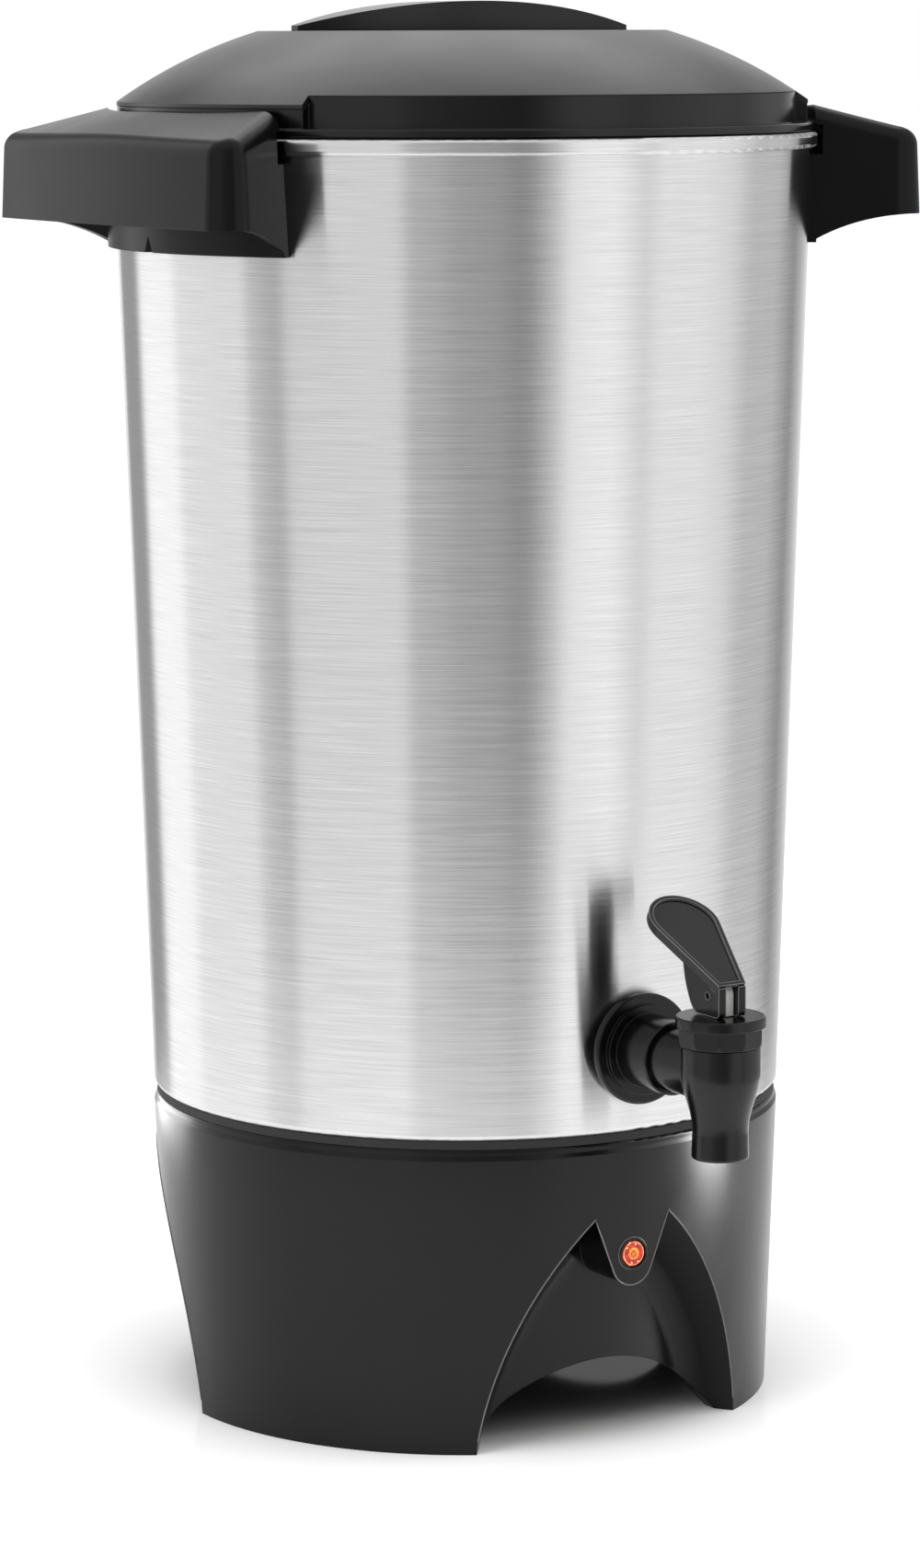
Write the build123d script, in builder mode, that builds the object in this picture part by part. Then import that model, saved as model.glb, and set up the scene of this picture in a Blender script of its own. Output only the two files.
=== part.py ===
"""Percolating coffee urn: tapered aluminium tank on a three-legged moulded base, with a lift-off lid,
two side handles, a spring-return tap, a pilot light, a heater in the base and a lift-out percolator.

Frame: origin on the urn's axis at the surface it stands on, +Z up, tap towards -Y, handles towards X.
All sizes are in millimetres.
"""

import os
from math import asin, atan2, cos, hypot, radians, sin, sqrt, tan

from build123d import *

os.makedirs("parts", exist_ok=True)

# ------------------------------------------------------------------ driving dimensions: fits
FIT = 0.08  # radial running clearance of a pin or stem in its bore
GAP = 0.3  # clearance between pieces of different bodies

# ------------------------------------------------------------------ driving dimensions: tank
TANK_FOOT_Z = 99.7  # underside of the tank floor
RIM_Z = 403.6  # top of the rolled bead
TANK_FOOT_R = 100.9  # outer radius at the floor
TANK_DRAFT = 0.031  # radius gained per millimetre of height
TANK_WALL = 1.2
TANK_CORNER = 1.8  # outer radius of the floor corner
BEAD_H = 4.9
BEAD_PROUD = 1.9  # bead beyond the wall
WELL_R = 20.0  # pump well in the floor, inside radius
WELL_DEPTH = 6.0
STUD_BELOW = 7.0  # tank studs below the deck

# ------------------------------------------------------------------ driving dimensions: base
DECK_Z = 97.0  # top of the moulded base
SKIRT_FOOT_R = 97.6
SKIRT_DRAFT = 0.036
SKIRT_WALL = 3.0
NECK_R = 100.3  # bead that runs round the top of the base
NECK_H = 2.1
NECK_CHAMFER = 1.2
NECK_ROUND = 0.9
DECK_T = 3.0
DECK_HOLE_R = 78.0
GASKET_WIDTH = 6.0
LEGS = 3
ARCH_PLANE_R = 102.0  # plane on which the arch outline is drawn, from the axis
ARCH_FOOT_HALF = 61.4
ARCH_MID_HALF = 42.6
ARCH_MID_Z = 45.0
ARCH_TOP_HALF = 14.6
ARCH_TOP_Z = 74.6
ARCH_APEX_Z = 82.0
ARCH_TAPER = 36.0  # the pocket narrows towards the axis
ARCH_DEPTH = 40.0  # depth of the cutting form, past the back of the pocket
ARCH_BELOW = 30.0  # the cutting form runs on below the floor
POCKET_R = 82.0  # face of the wall behind each arch
POCKET_FILLET = 8.0
TONGUE_TIP_Z = 50.8
TONGUE_TIP_R = 7.1
TONGUE_HALF_ANGLE = 21.1
LOW_ARCH_HALF = 44.0  # second arch, through the wall behind the first
LOW_ARCH_H = 23.5
PLATE_Z = 29.5  # underside of the bottom plate
PLATE_T = 1.2
BOSS_R = 4.5
BOSS_AT_R = 87.0
FIXING_TURN = 16.0  # degrees from a leg's middle to its tank stud, and back to its plate boss
STUD_R = 2.0
PLATE_SCREW_R = 1.3
PLATE_SCREW_DEPTH = 12.0
VENT_LENGTH = 16.0
VENT_WIDTH = 3.0
VENT_AT_R = 30.0
VENTS = 6

# ------------------------------------------------------------------ driving dimensions: pilot light
PILOT_Z = 60.9
BEZEL_R = 5.1
BEZEL_PROUD = 0.7
BEZEL_SEAT = 1.0  # depth of the spot face under the bezel
BEZEL_WALL = 0.8
LENS_FACETS = 6
LENS_R = 4.3
LAMP_LENGTH = 9.0

# ------------------------------------------------------------------ driving dimensions: handles
HANDLE_TOP_Z = 412.4
HANDLE_TOP_SLOPE = 0.49  # fall of the top per millimetre outwards
HANDLE_GRIP_Z = 377.5  # lower edge of the outer face
HANDLE_FOOT_Z = 368.5  # lower edge of the mounting plate
HANDLE_REACH = 131.4  # outer face from the axis, at its middle, at foot level
HANDLE_BOW = 3.6
HANDLE_HALF = 81.5  # half length of the outer face before its corners are rounded
HANDLE_INNER_R = 111.8  # top edge, clear of the lid
HANDLE_NOTCH_R = 114.2  # step that clears the rolled bead
HANDLE_NOTCH_TOP_Z = 405.6
HANDLE_NOTCH_LOW_Z = 396.2
HANDLE_ROOT_X = 90.0  # inner end of the handle's plan, inside the tank
HANDLE_SAG = 1.2  # top inner edge lower at its middle than at the wings
HANDLE_INNER_HALF = 57.0
HANDLE_WALL = 3.0
HANDLE_CORNER = 8.0
HANDLE_DRAFT = 2.5  # degrees the walls lean in, going up
HANDLE_EDGE_ROUND = 5.5
HANDLE_SWEEP_INSET = 8.3  # outer end of the arc under each wing, in from the outer face
HANDLE_SWEEP_IN_X = 95.0
HANDLE_SWEEP_RISE = 2.6  # arc above the straight line between its ends
DRAIN_NOTCH = 5.0
SCREW_Z = 384.0
SCREW_TURN = 23.0  # degrees either side of the handle's middle
SCREW_R = 2.0
SCREW_HEAD_R = 4.0
SCREW_HEAD_H = 2.0
SCREW_LENGTH = 10.0
SCREW_BOSS_R = 4.5
SCREW_BOSS_LENGTH = 12.0
WASHER_R = 5.5
WASHER_T = 1.0

# ------------------------------------------------------------------ driving dimensions: tap
TAP_Z = 126.5  # axis of the shank
TAP_REACH = 147.5  # axis of the barrel from the urn's axis
SHANK_R = 8.0
SHANK_END = 90.0  # inner end of the shank from the urn's axis
SHANK_BORE_R = 5.2
ARM_R = 9.9
COLLAR_R = 11.4
COLLAR_FLANGE_R = 17.3
COLLAR_END = 123.6  # outer end of the collar from the urn's axis
COLLAR_FLANGE_T = 2.6
COLLAR_STEP_R = 14.0
COLLAR_STEP_T = 1.6
COLLAR_SEAT = 8.0  # length of the arm inside the collar
SEAL_T = 2.0
SEAL_R = 13.5
SEAL_EASE = 0.12  # inner seals stop this short of the tank wall
NUT_ACROSS = 26.0
NUT_T = 5.0
SPOUT_END_Z = 100.5
SPOUT_R = 8.7
SPOUT_NECK_R = 8.45
SPOUT_NECK_Z = 108.5
SPOUT_BORE_R = 5.6
BARREL_R = 12.0
BARREL_TOP_Z = 138.0
BARREL_BORE_R = 8.6
VALVE_SEAT_Z = 116.5
BONNET_TOP_Z = 144.1
BONNET_BOTTOM_Z = 135.2
BARREL_BAND_H = 7.7  # straight top of the barrel below the bonnet
BONNET_R = 13.6
BONNET_LOW_R = 12.7
BONNET_CAP_T = 4.0
THREAD_R = 10.9
BONNET_FLATS = 10
STEM_R = 2.0
EYE_R = 3.7
EYE_T = 4.0
EYE_BACK = 2.5  # back of the flat under the eye, from the pin
STEM_FLANGE_R = 6.0
STEM_FLANGE_T = 1.2
STEM_PLUG = 3.0  # depth of the stem in the seat cup
SEAT_GAP = 0.1
CUP_R = 7.2
CUP_H = 5.0
SPRING_R = 4.6
SPRING_WIRE_R = 0.45
SPRING_TURNS = 5
PIN_R = 1.2
PIN_HEIGHT = 6.3  # pin above the bonnet
LEVER_WIDTH = 9.5
LEVER_SLOT = 4.6
LEVER_FRONT = 5.9  # front face from the pin
LEVER_BACK = 13.3  # back edge under the paddle, from the pin
LEVER_FOOT_BACK = 5.6  # back edge at the foot of the block
LEVER_HEEL_R = 1.2
PADDLE_RISE = 31.8  # degrees above level
PADDLE_LENGTH = 41.0
PADDLE_HALF = 11.3
PADDLE_T = 3.4
PADDLE_RIM = 1.2
PADDLE_DISH = 0.6
PADDLE_ROUND = 0.9
LEVER_HEAD_Z = 10.2  # top front edge of the lever block above the bonnet

# ------------------------------------------------------------------ driving dimensions: lid
LID_RISE = 31.8  # top of the dome above the rim of the tank
LID_TOP_R = 64.5
LID_EDGE_R = 105.0  # dome edge at the front and the back
LID_EDGE_DROP = 19.3  # that edge below the top of the dome
LID_EAR_R = 109.0  # dome edge over the handles
LID_EAR_DROP = 21.8
LID_EAR_LIP = 1.2
LID_EAR_HALF_ANGLE = 33.0
LID_BULGE = 2.2  # dome above the straight cone, at its middle
LID_SHELL = 1.8
BAND_R = 104.9
FLANGE_R = 110.6
EAR_BLOCK_R = 108.8
FLANGE_T = 2.7
LOCATOR_DEPTH = 8.0
LOCATOR_T = 2.0
WELL_TOP_R = 52.0  # finger well in the middle of the lid
WELL_FOOT_R = 47.0
LID_WELL_DEPTH = 13.0
POST_AT = 26.0  # posts of the grip, either side of the middle
POST_R = 4.0
LID_SCREW_R = 1.5
LID_SCREW_DEPTH = 9.0
GRIP_HALF = 60.5
GRIP_RISE = 9.2  # top of the grip above the dome
GRIP_END_H = 1.6  # height left at the tips
GRIP_HALF_WIDTH = 12.5
GRIP_BLUNT = 2.0  # half width left at the tips

# ------------------------------------------------------------------ driving dimensions: percolator
TUBE_R = 5.0
TUBE_WALL = 0.8
TUBE_TOP_Z = 392.0
PUMP_FOOT_R = 18.5
PUMP_FOOT_H = 12.0
PUMP_FOOT_T = 1.0
PUMP_SLOT_W = 5.0
PUMP_SLOT_H = 2.5
STOP_R = 9.0
STOP_T = 2.0
VALVE_T = 1.5
VALVE_Z = 98.0
BASKET_Z = 318.0
BASKET_H = 60.0
BASKET_R = 58.0
BASKET_DRAFT = 0.06
BASKET_WALL = 0.9
BASKET_HOLE_R = 1.6
BASKET_RING_RADII = (22.0, 34.0, 46.0)
BASKET_HOLE_COUNTS = (9, 12, 15)
BASKET_LIP = 2.0
HUB_H = 40.0
SPREADER_T = 0.8
SPREADER_RISE = 5.0
SPREADER_RING_RADII = (20.0, 34.0, 48.0)
SPREADER_HOLE_COUNTS = (8, 12, 12)
SPREADER_HOLE_R = 1.2

# ------------------------------------------------------------------ driving dimensions: electrics
ELEMENT_R = 32.0
ELEMENT_SECTION = 6.5
TERMINAL_TURNS = (168.0, 192.0)
TERMINAL_R = 2.0
TERMINAL_LENGTH = 12.0
CLAMP_T = 1.2
CLAMP_STUD_R = 3.0
CLAMP_NUT_T = 4.0
THERMOSTAT_R = 8.0
THERMOSTAT_H = 9.0
THERMOSTAT_AT = 56.0
FUSE_R = 2.2
FUSE_LENGTH = 12.0
CLIP_T = 0.8
CLIP_W = 5.0
BLOCK_SIZE = (34.0, 14.0, 12.0)
BLOCK_AT = 48.0
WIRE_R = 1.0
GLAND_TURN = 180.0
GLAND_Z = 58.0
GLAND_BORE_R = 3.3
GLAND_R = 5.4
GLAND_FLANGE_R = 7.5
GLAND_FLANGE_T = 1.8
GLAND_REACH = 8.0  # sleeve inside the skirt's outer face
GLAND_NUT_T = 3.0


def tank_r(z):
    """Outer radius of the tank wall at height z."""
    return TANK_FOOT_R + TANK_DRAFT * (z - TANK_FOOT_Z)


def skirt_r(z):
    """Outer radius of the base skirt at height z."""
    return SKIRT_FOOT_R + SKIRT_DRAFT * z


def turned(r, degrees_from_front, z=0.0):
    """Point at radius r and height z, turned anticlockwise from the front (-Y)."""
    a = radians(degrees_from_front)
    return (r * sin(a), -r * cos(a), z)


def wall_plane(r, turn, z):
    """Plane at a point of the wall, facing straight out from the axis."""
    return Plane(turned(r, turn, z), z_dir=turned(1, turn))


def save(name, solid):
    """Label one finished piece and write it as its own STEP file."""
    solid.part.label = name
    export_step(solid.part, f"parts/{name}.step")


STAND = (Align.CENTER, Align.CENTER, Align.MIN)
HANG = (Align.CENTER, Align.CENTER, Align.MAX)
leg_turns = [360 / LEGS * (i + 0.5) for i in range(LEGS)]
arch_turns = [360 / LEGS * i for i in range(LEGS)]

# ================================================================== tank
bead_z = RIM_Z - BEAD_H
well_z = TANK_FOOT_Z - WELL_DEPTH
floor_top_z = TANK_FOOT_Z + TANK_WALL
stud_turns = [t + FIXING_TURN for t in leg_turns]
boss_turns = [t - FIXING_TURN for t in leg_turns]
handle_screw_turns = [side + turn for side in (90, -90) for turn in (-SCREW_TURN, SCREW_TURN)]

with BuildPart() as tank:
    with BuildSketch(Plane.XZ):
        with BuildLine():
            Polyline(
                (0, well_z),
                (WELL_R + TANK_WALL, well_z),
                (WELL_R + TANK_WALL, TANK_FOOT_Z),
                (TANK_FOOT_R, TANK_FOOT_Z),
                (tank_r(RIM_Z - BEAD_H / 2), RIM_Z - BEAD_H / 2),
                (tank_r(RIM_Z - BEAD_H / 2) - TANK_WALL, RIM_Z - BEAD_H / 2),
                (tank_r(floor_top_z) - TANK_WALL, floor_top_z),
                (WELL_R, floor_top_z),
                (WELL_R, well_z + TANK_WALL),
                (0, well_z + TANK_WALL),
                close=True,
            )
        wall = make_face()
        fillet(wall.vertices().sort_by_distance((TANK_FOOT_R, TANK_FOOT_Z, 0))[0], TANK_CORNER)
        inside_corner = (tank_r(floor_top_z) - TANK_WALL, floor_top_z, 0)
        fillet(wall.vertices().sort_by_distance(inside_corner)[0], TANK_CORNER - TANK_WALL)
    revolve(axis=Axis.Z)
    bead_width = BEAD_PROUD + TANK_WALL
    bead_middle = tank_r(bead_z) - TANK_WALL + bead_width / 2
    with BuildSketch(Plane.XZ):
        with Locations((bead_middle, RIM_Z - BEAD_H / 2)):
            RectangleRounded(bead_width, BEAD_H, bead_width * 0.45)
    revolve(axis=Axis.Z)
    with Locations(wall_plane(tank_r(TAP_Z), 0, TAP_Z)):
        Cylinder(SHANK_R + GAP / 2, 10 * TANK_WALL, mode=Mode.SUBTRACT)
    for turn in handle_screw_turns:
        with Locations(wall_plane(tank_r(SCREW_Z), turn, SCREW_Z)):
            Cylinder(SCREW_R + GAP / 2, 4 * TANK_WALL, mode=Mode.SUBTRACT)
save("tank", tank)

deck_low_z = DECK_Z - DECK_T
stud_length = TANK_FOOT_Z - deck_low_z + STUD_BELOW
with BuildPart() as tank_studs:
    for turn in stud_turns:
        with Locations(turned(BOSS_AT_R, turn, TANK_FOOT_Z - stud_length)):
            Cylinder(STUD_R, stud_length, align=STAND)
save("tank_studs", tank_studs)

with BuildPart() as stud_nuts:
    for turn in stud_turns:
        with BuildSketch(Plane.XY.offset(deck_low_z)):
            with Locations(turned(BOSS_AT_R, turn)[:2]):
                RegularPolygon(STUD_R * 1.75, 6, major_radius=False)
                Circle(STUD_R, mode=Mode.SUBTRACT)
    extrude(amount=-STUD_R * 1.6)
save("stud_nuts", stud_nuts)

# ================================================================== moulded base


def arch_solid(turn, grow=0.0, back_r=POCKET_R, round_r=0.0):
    """Radial pocket of the arch outline, from back_r outwards, with its walls moved out by grow."""
    foot = (ARCH_FOOT_HALF, 0)
    middle = (ARCH_MID_HALF, ARCH_MID_Z)
    top = (ARCH_TOP_HALF, ARCH_TOP_Z)
    with BuildPart() as pocket:
        with BuildSketch(Plane.XZ.offset(ARCH_PLANE_R)):
            with BuildLine():
                ThreePointArc(foot, middle, top)
                ThreePointArc(top, (0, ARCH_APEX_Z), (-top[0], top[1]))
                ThreePointArc((-top[0], top[1]), (-middle[0], middle[1]), (-foot[0], 0))
                Polyline((-foot[0], 0), (-foot[0], -ARCH_BELOW), (foot[0], -ARCH_BELOW), foot)
            make_face()
            if grow:
                offset(amount=grow / cos(radians(ARCH_TAPER)))
        extrude(amount=-ARCH_DEPTH, taper=ARCH_TAPER)
        Cylinder(back_r, 4 * DECK_Z, mode=Mode.SUBTRACT)
        if round_r:
            back = pocket.faces().filter_by(GeomType.CYLINDER).sort_by(SortBy.AREA)[-1]
            fillet([e for e in back.edges() if e.center().Z > 0], round_r)
    return pocket.part.rotate(Axis.Z, turn)


def tongue_solid(grow=0.0, inner_r=POCKET_R - SKIRT_WALL):
    """Rounded V that hangs in the front arch and carries the pilot light."""
    slope = tan(radians(TONGUE_HALF_ANGLE))
    point_z = TONGUE_TIP_Z - grow - (TONGUE_TIP_R + grow) * (1 / sin(radians(TONGUE_HALF_ANGLE)) - 1)
    with BuildPart() as tongue:
        with BuildSketch(Plane.XZ.offset(inner_r)):
            with BuildLine():
                half = (deck_low_z - point_z) * slope
                Polyline((0, point_z), (half, deck_low_z), (-half, deck_low_z), close=True)
            tip = make_face()
            fillet(tip.vertices().sort_by(Axis.Y)[0], TONGUE_TIP_R + grow)
        extrude(amount=skirt_r(DECK_Z) - inner_r)
    return tongue.part


def low_arch_solid(turn, grow=0.0):
    """Round-topped opening through the wall behind an arch."""
    rise = LOW_ARCH_H + grow
    half = LOW_ARCH_HALF + grow
    with BuildPart() as opening:
        with BuildSketch(Plane.XZ.offset(POCKET_R * 0.6)):
            with BuildLine():
                ThreePointArc((-half, 0), (0, rise), (half, 0))
                Polyline((half, 0), (half, -5), (-half, -5), (-half, 0))
            make_face()
        extrude(amount=POCKET_R * 0.55)
    return opening.part.rotate(Axis.Z, turn)


bevel_z = DECK_Z - NECK_H
with BuildPart() as skirt_form:
    with BuildSketch(Plane.XZ):
        with BuildLine():
            Polyline(
                (0, 0),
                (SKIRT_FOOT_R, 0),
                (skirt_r(bevel_z - NECK_CHAMFER), bevel_z - NECK_CHAMFER),
                (NECK_R, bevel_z),
                (NECK_R, DECK_Z),
                (0, DECK_Z),
                close=True,
            )
        side = make_face()
        fillet(side.vertices().sort_by_distance((NECK_R, DECK_Z, 0))[0], NECK_ROUND)
    revolve(axis=Axis.Z)

with BuildPart() as cavity_cone:
    with BuildSketch(Plane.XZ):
        with BuildLine():
            Polyline(
                (0, -1),
                (SKIRT_FOOT_R - SKIRT_WALL, -1),
                (skirt_r(deck_low_z) - SKIRT_WALL, deck_low_z),
                (0, deck_low_z),
                close=True,
            )
        make_face()
    revolve(axis=Axis.Z)

with BuildPart() as base_cavity:
    add(cavity_cone.part)
    for turn in arch_turns:
        add(arch_solid(turn, SKIRT_WALL, POCKET_R - SKIRT_WALL), mode=Mode.SUBTRACT)

with BuildPart() as lamp_room:
    add(tongue_solid(-SKIRT_WALL, POCKET_R - 2 * SKIRT_WALL))
    add(cavity_cone.part, mode=Mode.INTERSECT)

with BuildPart() as base_housing:
    add(skirt_form.part)
    add(arch_solid(0, round_r=POCKET_FILLET) - tongue_solid(), mode=Mode.SUBTRACT)
    for turn in arch_turns[1:]:
        add(arch_solid(turn, round_r=POCKET_FILLET), mode=Mode.SUBTRACT)
    add(base_cavity.part, mode=Mode.SUBTRACT)
    add(lamp_room.part, mode=Mode.SUBTRACT)
    for turn in arch_turns:
        add(low_arch_solid(turn), mode=Mode.SUBTRACT)
    Cylinder(DECK_HOLE_R, 3 * DECK_Z, mode=Mode.SUBTRACT)
    plate_top = PLATE_Z + PLATE_T
    for turn in boss_turns:
        with Locations(turned(BOSS_AT_R, turn, plate_top)):
            Cylinder(BOSS_R, deck_low_z - plate_top, align=STAND)
            Cylinder(PLATE_SCREW_R, PLATE_SCREW_DEPTH, align=STAND, mode=Mode.SUBTRACT)
    for turn in stud_turns:
        with Locations(turned(BOSS_AT_R, turn, DECK_Z)):
            Cylinder(STUD_R + GAP / 2, 3 * DECK_T, mode=Mode.SUBTRACT)
    with Locations(wall_plane(skirt_r(PILOT_Z) - BEZEL_SEAT, 0, PILOT_Z)):
        Cylinder(BEZEL_R, 3 * BEZEL_SEAT, align=STAND, mode=Mode.SUBTRACT)
        Cylinder(LENS_R, 4 * SKIRT_WALL, mode=Mode.SUBTRACT)
    with Locations(wall_plane(skirt_r(GLAND_Z), GLAND_TURN, GLAND_Z)):
        Cylinder(GLAND_R, 4 * SKIRT_WALL, mode=Mode.SUBTRACT)
save("base_housing", base_housing)

gasket_r = TANK_FOOT_R - TANK_CORNER / 2
with BuildPart() as base_gasket:
    with BuildSketch(Plane.XY.offset(DECK_Z)):
        Circle(gasket_r)
        Circle(gasket_r - GASKET_WIDTH, mode=Mode.SUBTRACT)
    extrude(amount=TANK_FOOT_Z - DECK_Z)
    with BuildSketch(Plane.XZ):
        with Locations((TANK_FOOT_R - TANK_CORNER, TANK_FOOT_Z + TANK_CORNER)):
            Circle(TANK_CORNER)
    revolve(axis=Axis.Z, mode=Mode.SUBTRACT)
save("base_gasket", base_gasket)

with BuildPart() as base_plate:
    with BuildSketch(Plane.XY.offset(PLATE_Z)):
        Circle(skirt_r(PLATE_Z) - SKIRT_WALL - GAP)
        with PolarLocations(VENT_AT_R, VENTS):
            SlotOverall(VENT_LENGTH, VENT_WIDTH, rotation=90, mode=Mode.SUBTRACT)
        for turn in boss_turns:
            with Locations(turned(BOSS_AT_R, turn)[:2]):
                Circle(PLATE_SCREW_R, mode=Mode.SUBTRACT)
    extrude(amount=PLATE_T)
    plate_grow = SKIRT_WALL + GAP
    for turn in arch_turns:
        add(arch_solid(turn, plate_grow, POCKET_R - plate_grow), mode=Mode.SUBTRACT)
save("base_plate", base_plate)

with BuildPart() as plate_screws:
    for turn in boss_turns:
        with Locations(turned(BOSS_AT_R, turn, PLATE_Z)):
            Cylinder(PLATE_SCREW_R, PLATE_SCREW_DEPTH, align=STAND)
            Cylinder(PLATE_SCREW_R * 2.2, PLATE_SCREW_R * 1.2, align=HANG)
save("plate_screws", plate_screws)

# ================================================================== pilot light
seat_r = skirt_r(PILOT_Z) - BEZEL_SEAT
sleeve_r = LENS_R - BEZEL_WALL
bezel_h = BEZEL_SEAT + BEZEL_PROUD
pilot_plane = wall_plane(seat_r, 0, PILOT_Z)
lens_plane = wall_plane(seat_r + BEZEL_SEAT / 2, 0, PILOT_Z)
with BuildPart() as pilot_bezel:
    with Locations(pilot_plane):
        Cylinder(BEZEL_R, bezel_h, align=STAND)
        Cylinder(LENS_R, SKIRT_WALL + 1, align=HANG)
        Cylinder(sleeve_r, 4 * SKIRT_WALL, mode=Mode.SUBTRACT)
    with Locations(lens_plane):
        Cylinder(LENS_R, bezel_h, align=STAND, mode=Mode.SUBTRACT)
    fillet(pilot_bezel.faces().sort_by(Axis.Y)[0].edges(), BEZEL_PROUD * 0.5)
save("pilot_bezel", pilot_bezel)

with BuildPart() as pilot_lens:
    with Locations(lens_plane):
        Cylinder(LENS_R, bezel_h - BEZEL_SEAT / 2, align=STAND)
    fillet(pilot_lens.faces().sort_by(Axis.Y)[0].edges(), BEZEL_PROUD)
    with BuildSketch(lens_plane):
        with PolarLocations(LENS_R * 0.55, LENS_FACETS):
            RegularPolygon(LENS_R * 0.2, LENS_FACETS)
    extrude(amount=BEZEL_SEAT / 2, mode=Mode.SUBTRACT)
save("pilot_lens", pilot_lens)

with BuildPart() as pilot_lamp:
    with Locations(wall_plane(seat_r - GAP, 0, PILOT_Z)):
        Cylinder(sleeve_r, LAMP_LENGTH, align=HANG)
    with Locations(wall_plane(seat_r - GAP - LAMP_LENGTH, 0, PILOT_Z)):
        with GridLocations(sleeve_r, 1, 2, 1):
            Cylinder(WIRE_R * 0.5, LAMP_LENGTH * 0.5, align=HANG)
save("pilot_lamp", pilot_lamp)

# ================================================================== cord gland
gland_plane = wall_plane(skirt_r(GLAND_Z), GLAND_TURN, GLAND_Z)
with BuildPart() as cord_gland:
    with Locations(gland_plane):
        Cylinder(GLAND_FLANGE_R, 2 * GLAND_FLANGE_T)
    fillet(cord_gland.faces().sort_by(Axis.Y)[-1].edges(), GLAND_FLANGE_T * 0.5)
    add(skirt_form.part, mode=Mode.SUBTRACT)
    with Locations(gland_plane):
        Cylinder(GLAND_R, GLAND_REACH, align=HANG)
        Cylinder(GLAND_R, GLAND_FLANGE_T / 2, align=STAND)
        Cylinder(GLAND_BORE_R, 3 * GLAND_REACH, mode=Mode.SUBTRACT)
save("cord_gland", cord_gland)

nut_half = GLAND_R * 1.5
inner_skirt_r = skirt_r(GLAND_Z) - SKIRT_WALL
nut_face_r = sqrt((inner_skirt_r - SKIRT_DRAFT * nut_half) ** 2 - nut_half**2)
with BuildPart() as gland_nut:
    with BuildSketch(wall_plane(nut_face_r, GLAND_TURN, GLAND_Z)):
        RegularPolygon(nut_half, 6)
        Circle(GLAND_R, mode=Mode.SUBTRACT)
    extrude(amount=-GLAND_NUT_T)
save("gland_nut", gland_nut)

# ================================================================== heater
element_low_z = TANK_FOOT_Z - ELEMENT_SECTION
with BuildPart() as heating_element:
    with BuildSketch(Plane.XZ):
        with Locations((ELEMENT_R, TANK_FOOT_Z - ELEMENT_SECTION / 2)):
            RectangleRounded(ELEMENT_SECTION, ELEMENT_SECTION, ELEMENT_SECTION * 0.3)
    revolve(axis=Axis.Z)
    for turn in TERMINAL_TURNS:
        with Locations(turned(ELEMENT_R, turn, element_low_z + ELEMENT_SECTION / 2)):
            Cylinder(TERMINAL_R, TERMINAL_LENGTH + ELEMENT_SECTION / 2, align=HANG)
save("heating_element", heating_element)

clamp_stud_length = well_z - element_low_z + CLAMP_T + CLAMP_NUT_T + 2
with BuildPart() as heater_stud:
    with Locations((0, 0, well_z)):
        Cylinder(CLAMP_STUD_R, clamp_stud_length, align=HANG)
save("heater_stud", heater_stud)

with BuildPart() as element_clamp:
    with BuildSketch(Plane.XY.offset(element_low_z)):
        Circle(ELEMENT_R - TERMINAL_R - 2 * GAP)
        Circle(CLAMP_STUD_R, mode=Mode.SUBTRACT)
    extrude(amount=-CLAMP_T)
save("element_clamp", element_clamp)

with BuildPart() as heater_nut:
    with BuildSketch(Plane.XY.offset(element_low_z - CLAMP_T)):
        RegularPolygon(CLAMP_STUD_R * 1.7, 6, major_radius=False)
        Circle(CLAMP_STUD_R, mode=Mode.SUBTRACT)
    extrude(amount=-CLAMP_NUT_T)
save("heater_nut", heater_nut)

with BuildPart() as thermostat:
    with Locations((0, THERMOSTAT_AT, TANK_FOOT_Z)):
        Cylinder(THERMOSTAT_R, THERMOSTAT_H, align=HANG)
        Cylinder(THERMOSTAT_R * 1.2, CLAMP_T, align=HANG)
    with Locations((0, THERMOSTAT_AT, TANK_FOOT_Z - THERMOSTAT_H)):
        with GridLocations(THERMOSTAT_R, 1, 2, 1):
            Box(CLIP_T, CLIP_W, THERMOSTAT_H, align=HANG)
save("thermostat", thermostat)

with BuildPart() as thermal_fuse:
    with Locations(Location((-THERMOSTAT_AT, 0, TANK_FOOT_Z - FUSE_R), (90, 0, 0))):
        Cylinder(FUSE_R, FUSE_LENGTH)
        Cylinder(WIRE_R * 0.5, FUSE_LENGTH * 2.2)
save("thermal_fuse", thermal_fuse)

with BuildPart() as fuse_clip:
    clip_width = 2 * (FUSE_R + CLIP_T)
    with Locations((-THERMOSTAT_AT, 0, TANK_FOOT_Z)):
        Box(clip_width + 2 * CLIP_W, CLIP_W, CLIP_T, align=HANG)
        Box(clip_width, CLIP_W, clip_width - CLIP_T, align=HANG)
        Box(2 * FUSE_R, 2 * CLIP_W, 2 * FUSE_R, align=HANG, mode=Mode.SUBTRACT)
save("fuse_clip", fuse_clip)

with BuildPart() as terminal_block:
    with Locations((0, BLOCK_AT, plate_top)):
        Box(*BLOCK_SIZE, align=STAND)
    with Locations((0, BLOCK_AT, plate_top + BLOCK_SIZE[2])):
        with GridLocations(BLOCK_SIZE[0] / 3, 1, 3, 1):
            Cylinder(BLOCK_SIZE[1] * 0.25, BLOCK_SIZE[2] * 0.5, align=HANG, mode=Mode.SUBTRACT)
save("terminal_block", terminal_block)

# ================================================================== handles
handle_outer_x = HANDLE_REACH - HANDLE_BOW
handle_inner_x = sqrt(HANDLE_INNER_R**2 - HANDLE_INNER_HALF**2)
wing_slope = (HANDLE_HALF - HANDLE_INNER_HALF) / (handle_outer_x - handle_inner_x)
handle_edge_z = HANDLE_TOP_Z - HANDLE_TOP_SLOPE * (HANDLE_REACH - HANDLE_INNER_R)
handle_top_stock_z = HANDLE_TOP_Z + HANDLE_INNER_R - HANDLE_ROOT_X


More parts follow.
